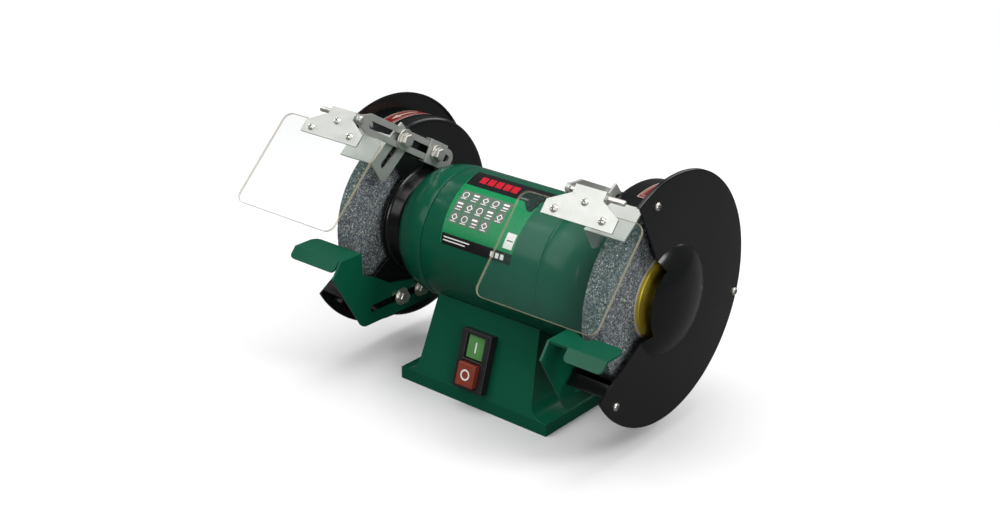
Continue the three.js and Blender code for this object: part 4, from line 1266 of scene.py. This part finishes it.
@dataclass
class Furniture:
    """One end's tool rest, spark deflector, arm, rod, bracket, shield and their bolts."""

    side: Side
    rod: tuple[float, float]
    tilt: float
    centre: float
    screws: Points = ((-22.0, -19.5), (0.0, -8.5), (20.0, -18.5))
    screw_head: Points = ((0.0, 0.0), (0.3, 2.2), (3.1, 3.3), (3.3, 3.3))
    screw_top: float = 7.8
    screw_flatness: float = 0.66
    # lowest and highest height, off the sheet's face, of the near-black plates painted as the shade in each
    # cross recess
    recess: tuple[float, float] = (6.9, 7.78)

    def build(self) -> None:
        """Rounds each sheet part, dresses it and adds the clamp screws."""
        word = self.side.word
        parts = (("tool_rest", 0.8, GREEN, f"{word}_rest", "green_enamel"),
                 ("spark_deflector", 0.4, ZINC, f"{word}_deflector", "zinc_sheet"),
                 ("shield_arm", 1.0, ZINC, f"{word}_arm", "zinc_sheet"),
                 ("shield_rod", 0.3, FASTENER, f"{word}_arm", "zinc_sheet"),
                 ("arm_saddle", 0.5, ZINC, "body", "zinc_sheet"),
                 ("shield_bracket", 0.4, ZINC, f"{word}_shield", "zinc_sheet"),
                 ("eye_shield", 0.3, CLEAR, f"{word}_shield", "clear_sheet"),
                 ("rest_bolt_1", 0.5, FASTENER, "body", "zinc_fastener"),
                 ("rest_bolt_2", 0.5, FASTENER, "body", "zinc_fastener"),
                 ("arm_front_bolt", 0.5, FASTENER, "body", "zinc_fastener"),
                 ("arm_rear_bolt", 0.5, FASTENER, "body", "zinc_fastener"))
        for name, width, finish, body, slot in parts:
            piece = rounded_copy(f"{word}_{name}", width, 3)
            finish.dress(body, slot, piece)
            if finish is CLEAR:
                self.rim(piece)
        self.clamp_screws()

    def rim(self, piece: bpy.types.Object) -> None:
        """The sheet's sawn edge faces, those square to its face, get the edge's own finish.

        Args:
            piece: The clear sheet.
        """
        piece.data.materials.append(RIM.material())
        normals = np.empty(3 * len(piece.data.polygons))
        piece.data.polygons.foreach_get("normal", normals)
        face = np.array(self.place())[:3, 2]
        square = abs(normals.reshape(-1, 3) @ face) < 0.5
        piece.modifiers["rounded_edges"].material = 1
        piece.data.polygons.foreach_set("material_index", square.astype(int))
        piece.data.update()

    def place(self) -> Matrix:
        """From (across, up the plate, off its face) to the part's frame."""
        y, z = self.rod
        return (Matrix.Translation((self.side.value * self.centre, y, SPINDLE_HEIGHT + z))
                @ Matrix.Rotation(np.radians(self.tilt), 4, "X"))

    def clamp_screws(self) -> None:
        """Three pan-head screws hold the clear sheet under the bracket; two crossed near-black plates on each
        head are painted shade where the cross recess would be.

        A head is its outline (drop, radius) turned about a line square to the sheet.
        """
        outline = filleted(self.screw_head, [1.0, 1.2], 5)
        t = np.radians(np.arange(28) * 360 / 28)[None, :]
        height = self.screw_top - outline[:, :1] * self.screw_flatness + 0 * t
        for i, (u, v) in enumerate(self.screws):
            name = f"{self.side.word}_clamp_screw_{i + 1}"
            points = np.stack([u + outline[:, 1:] * np.cos(t), v + outline[:, 1:] * np.sin(t),
                               height], axis=-1)
            head = surface(name, moved(points, self.place()), False, True)
            merge(head, SMOOTH_ANGLE, outward=True)
            FASTENER.dress(f"{self.side.word}_shield", "zinc_sheet", head)
            # Each near-black plate is painted shade standing in for the cross recess; the head itself is not
            # cut.
            for arm, turn in (("a", 25.0 + 40 * i), ("b", 115.0 + 40 * i)):
                place = (self.place() @ Matrix.Translation((u, v, 0))
                         @ Matrix.Rotation(np.radians(turn), 4, "Z"))
                slot = plate(f"{name}_recess_{arm}", round_rect(3.6, 0.85, 0.2), *self.recess, place, 0.05)
                BLACK_INK_AND_SHADE.dress(f"{self.side.word}_shield", "zinc_sheet", slot)


@dataclass
class Studio:
    """A pale floor, soft lights and the camera. A light is its name, place, size and power."""

    target: tuple[float, float, float] = (0.0, 0.0, 0.12)
    camera_at: tuple[float, float, float] = (0.7181, -0.9136, 0.6081)
    azimuth: float = 39.0
    elevation: float = 23.2
    roll: float = 1.0
    lens: float = 55.04
    floor_size: float = 12.0
    floor_seen: float = 0.75
    floor_bounce: float = 0.13
    glow_from: float = 0.5
    glow_full: float = 1.0
    sky_light: float = 0.12
    lights: tuple[tuple[str, tuple[float, float, float], float, float], ...] = (
        ("key", (-0.7, -1.7, 2.0), 2.4, 46.0), ("over", (0.0, 0.1, 2.4), 2.2, 30.0),
        ("back", (0.0, 1.6, 1.3), 1.2, 12.0), ("right", (1.9, -1.3, 0.55), 0.8, 17.0),
        ("side", (1.6, 0.5, 1.7), 1.0, 30.0), ("left", (-2.0, 0.1, 0.9), 1.2, 24.0))

    def build(self) -> None:
        """Makes the floor, the sky, the lights and the camera."""
        self.floor()
        self.sky()
        for light in self.lights:
            self.light(*light)
        self.camera()

    def floor(self) -> None:
        """A pale floor that throws little light back at the grinder and stays as pale far off as near."""
        bpy.ops.mesh.primitive_plane_add(size=self.floor_size)
        plane = bpy.context.object
        plane.name = "floor"
        graph = Graph("pale_floor")
        seen = graph.add("ShaderNodeLightPath").outputs["Is Camera Ray"]
        graph.set(Roughness=0.95, Specular_IOR_Level=0.0,
                  Base_Color=graph.mix(seen, 3 * (self.floor_bounce,), 3 * (self.floor_seen,)))
        away = graph.add("ShaderNodeVectorMath", operation="LENGTH", Vector=graph.where).outputs["Value"]
        far = graph.add("ShaderNodeMath", operation="MULTIPLY",
                        Value=graph.span(away, 0.0, 1.0, self.glow_from, self.glow_full))
        graph.fill(far.inputs[1], seen)
        blend = graph.add("ShaderNodeMixShader", Fac=far.outputs[0])
        graph.fill(blend.inputs[1], graph.shader.outputs[0])
        graph.fill(blend.inputs[2], graph.add("ShaderNodeEmission").outputs[0])
        graph.fill(graph.tree.nodes["Material Output"].inputs[0], blend.outputs[0])
        plane.data.materials.append(graph.material)

    def sky(self) -> None:
        """A white surround for what looks straight at it, and a dimmer one for what it lights."""
        world = bpy.data.worlds.new("studio")
        bpy.context.scene.world = world
        world.use_nodes = True
        tree = world.node_tree
        mix = tree.nodes.new("ShaderNodeMixShader")
        path = tree.nodes.new("ShaderNodeLightPath")
        tree.links.new(path.outputs["Is Camera Ray"], mix.inputs[0])
        skies = ((tree.nodes["Background"], self.sky_light), (tree.nodes.new("ShaderNodeBackground"), 1.0))
        for place, (sky, strength) in enumerate(skies):
            sky.inputs["Color"].default_value = (1, 1, 1, 1)
            sky.inputs["Strength"].default_value = strength
            tree.links.new(sky.outputs[0], mix.inputs[place + 1])
        tree.links.new(mix.outputs[0], tree.nodes["World Output"].inputs[0])

    def light(self, name: str, at: tuple[float, float, float], size: float, power: float) -> None:
        """A square soft light that looks at the grinder.

        Args:
            name: The light's name.
            at: Where it hangs, in metres.
            size: Its side, in metres.
            power: Its power, in watts.
        """
        data = bpy.data.lights.new(name, "AREA")
        data.size = size
        data.energy = power
        lamp = bpy.data.objects.new(name, data)
        bpy.context.scene.collection.objects.link(lamp)
        lamp.visible_camera = False
        lamp.location = at
        lamp.rotation_euler = (Vector(at) - Vector(self.target)).to_track_quat("Z", "Y").to_euler()

    def camera(self) -> None:
        """The camera, from its compass angle, its height angle and a slight roll."""
        a, e, r = np.radians([self.azimuth, self.elevation, self.roll])
        back = Vector((np.sin(a) * np.cos(e), -np.cos(a) * np.cos(e), np.sin(e)))
        level = Vector((0, 0, 1)).cross(back).normalized()
        up = back.cross(level)
        right = level * np.cos(r) + up * np.sin(r)
        above = up * np.cos(r) - level * np.sin(r)
        data = bpy.data.cameras.new("camera")
        data.lens = self.lens
        data.sensor_width = 36.0
        data.clip_start = 0.01
        eye = bpy.data.objects.new("camera", data)
        bpy.context.scene.collection.objects.link(eye)
        turn = Matrix((right, above, back)).transposed().to_4x4()
        eye.matrix_world = Matrix.Translation(self.camera_at) @ turn
        bpy.context.scene.camera = eye
        bpy.context.scene.view_settings.view_transform = "Standard"


def main() -> None:
    """Builds every sub-assembly in order and notes each one as it is built."""
    logging.basicConfig(level=logging.INFO, format="%(name)s: %(message)s")
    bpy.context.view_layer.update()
    Studio().build()
    steps = [Base(), Switch(), Motor()]
    for side in Side:
        steps += [WheelSet(side), Guard(side)]
    steps.append(Furniture(Side.RIGHT, (-79.37, 103.94), 50.0, 127.0))
    steps.append(Furniture(Side.LEFT, (-77.0, 108.5), 45.0, 121.5))
    for step in steps:
        step.build()
        LOG.info("built %s", step.__class__.__name__)


if __name__ == "__main__":
    main()
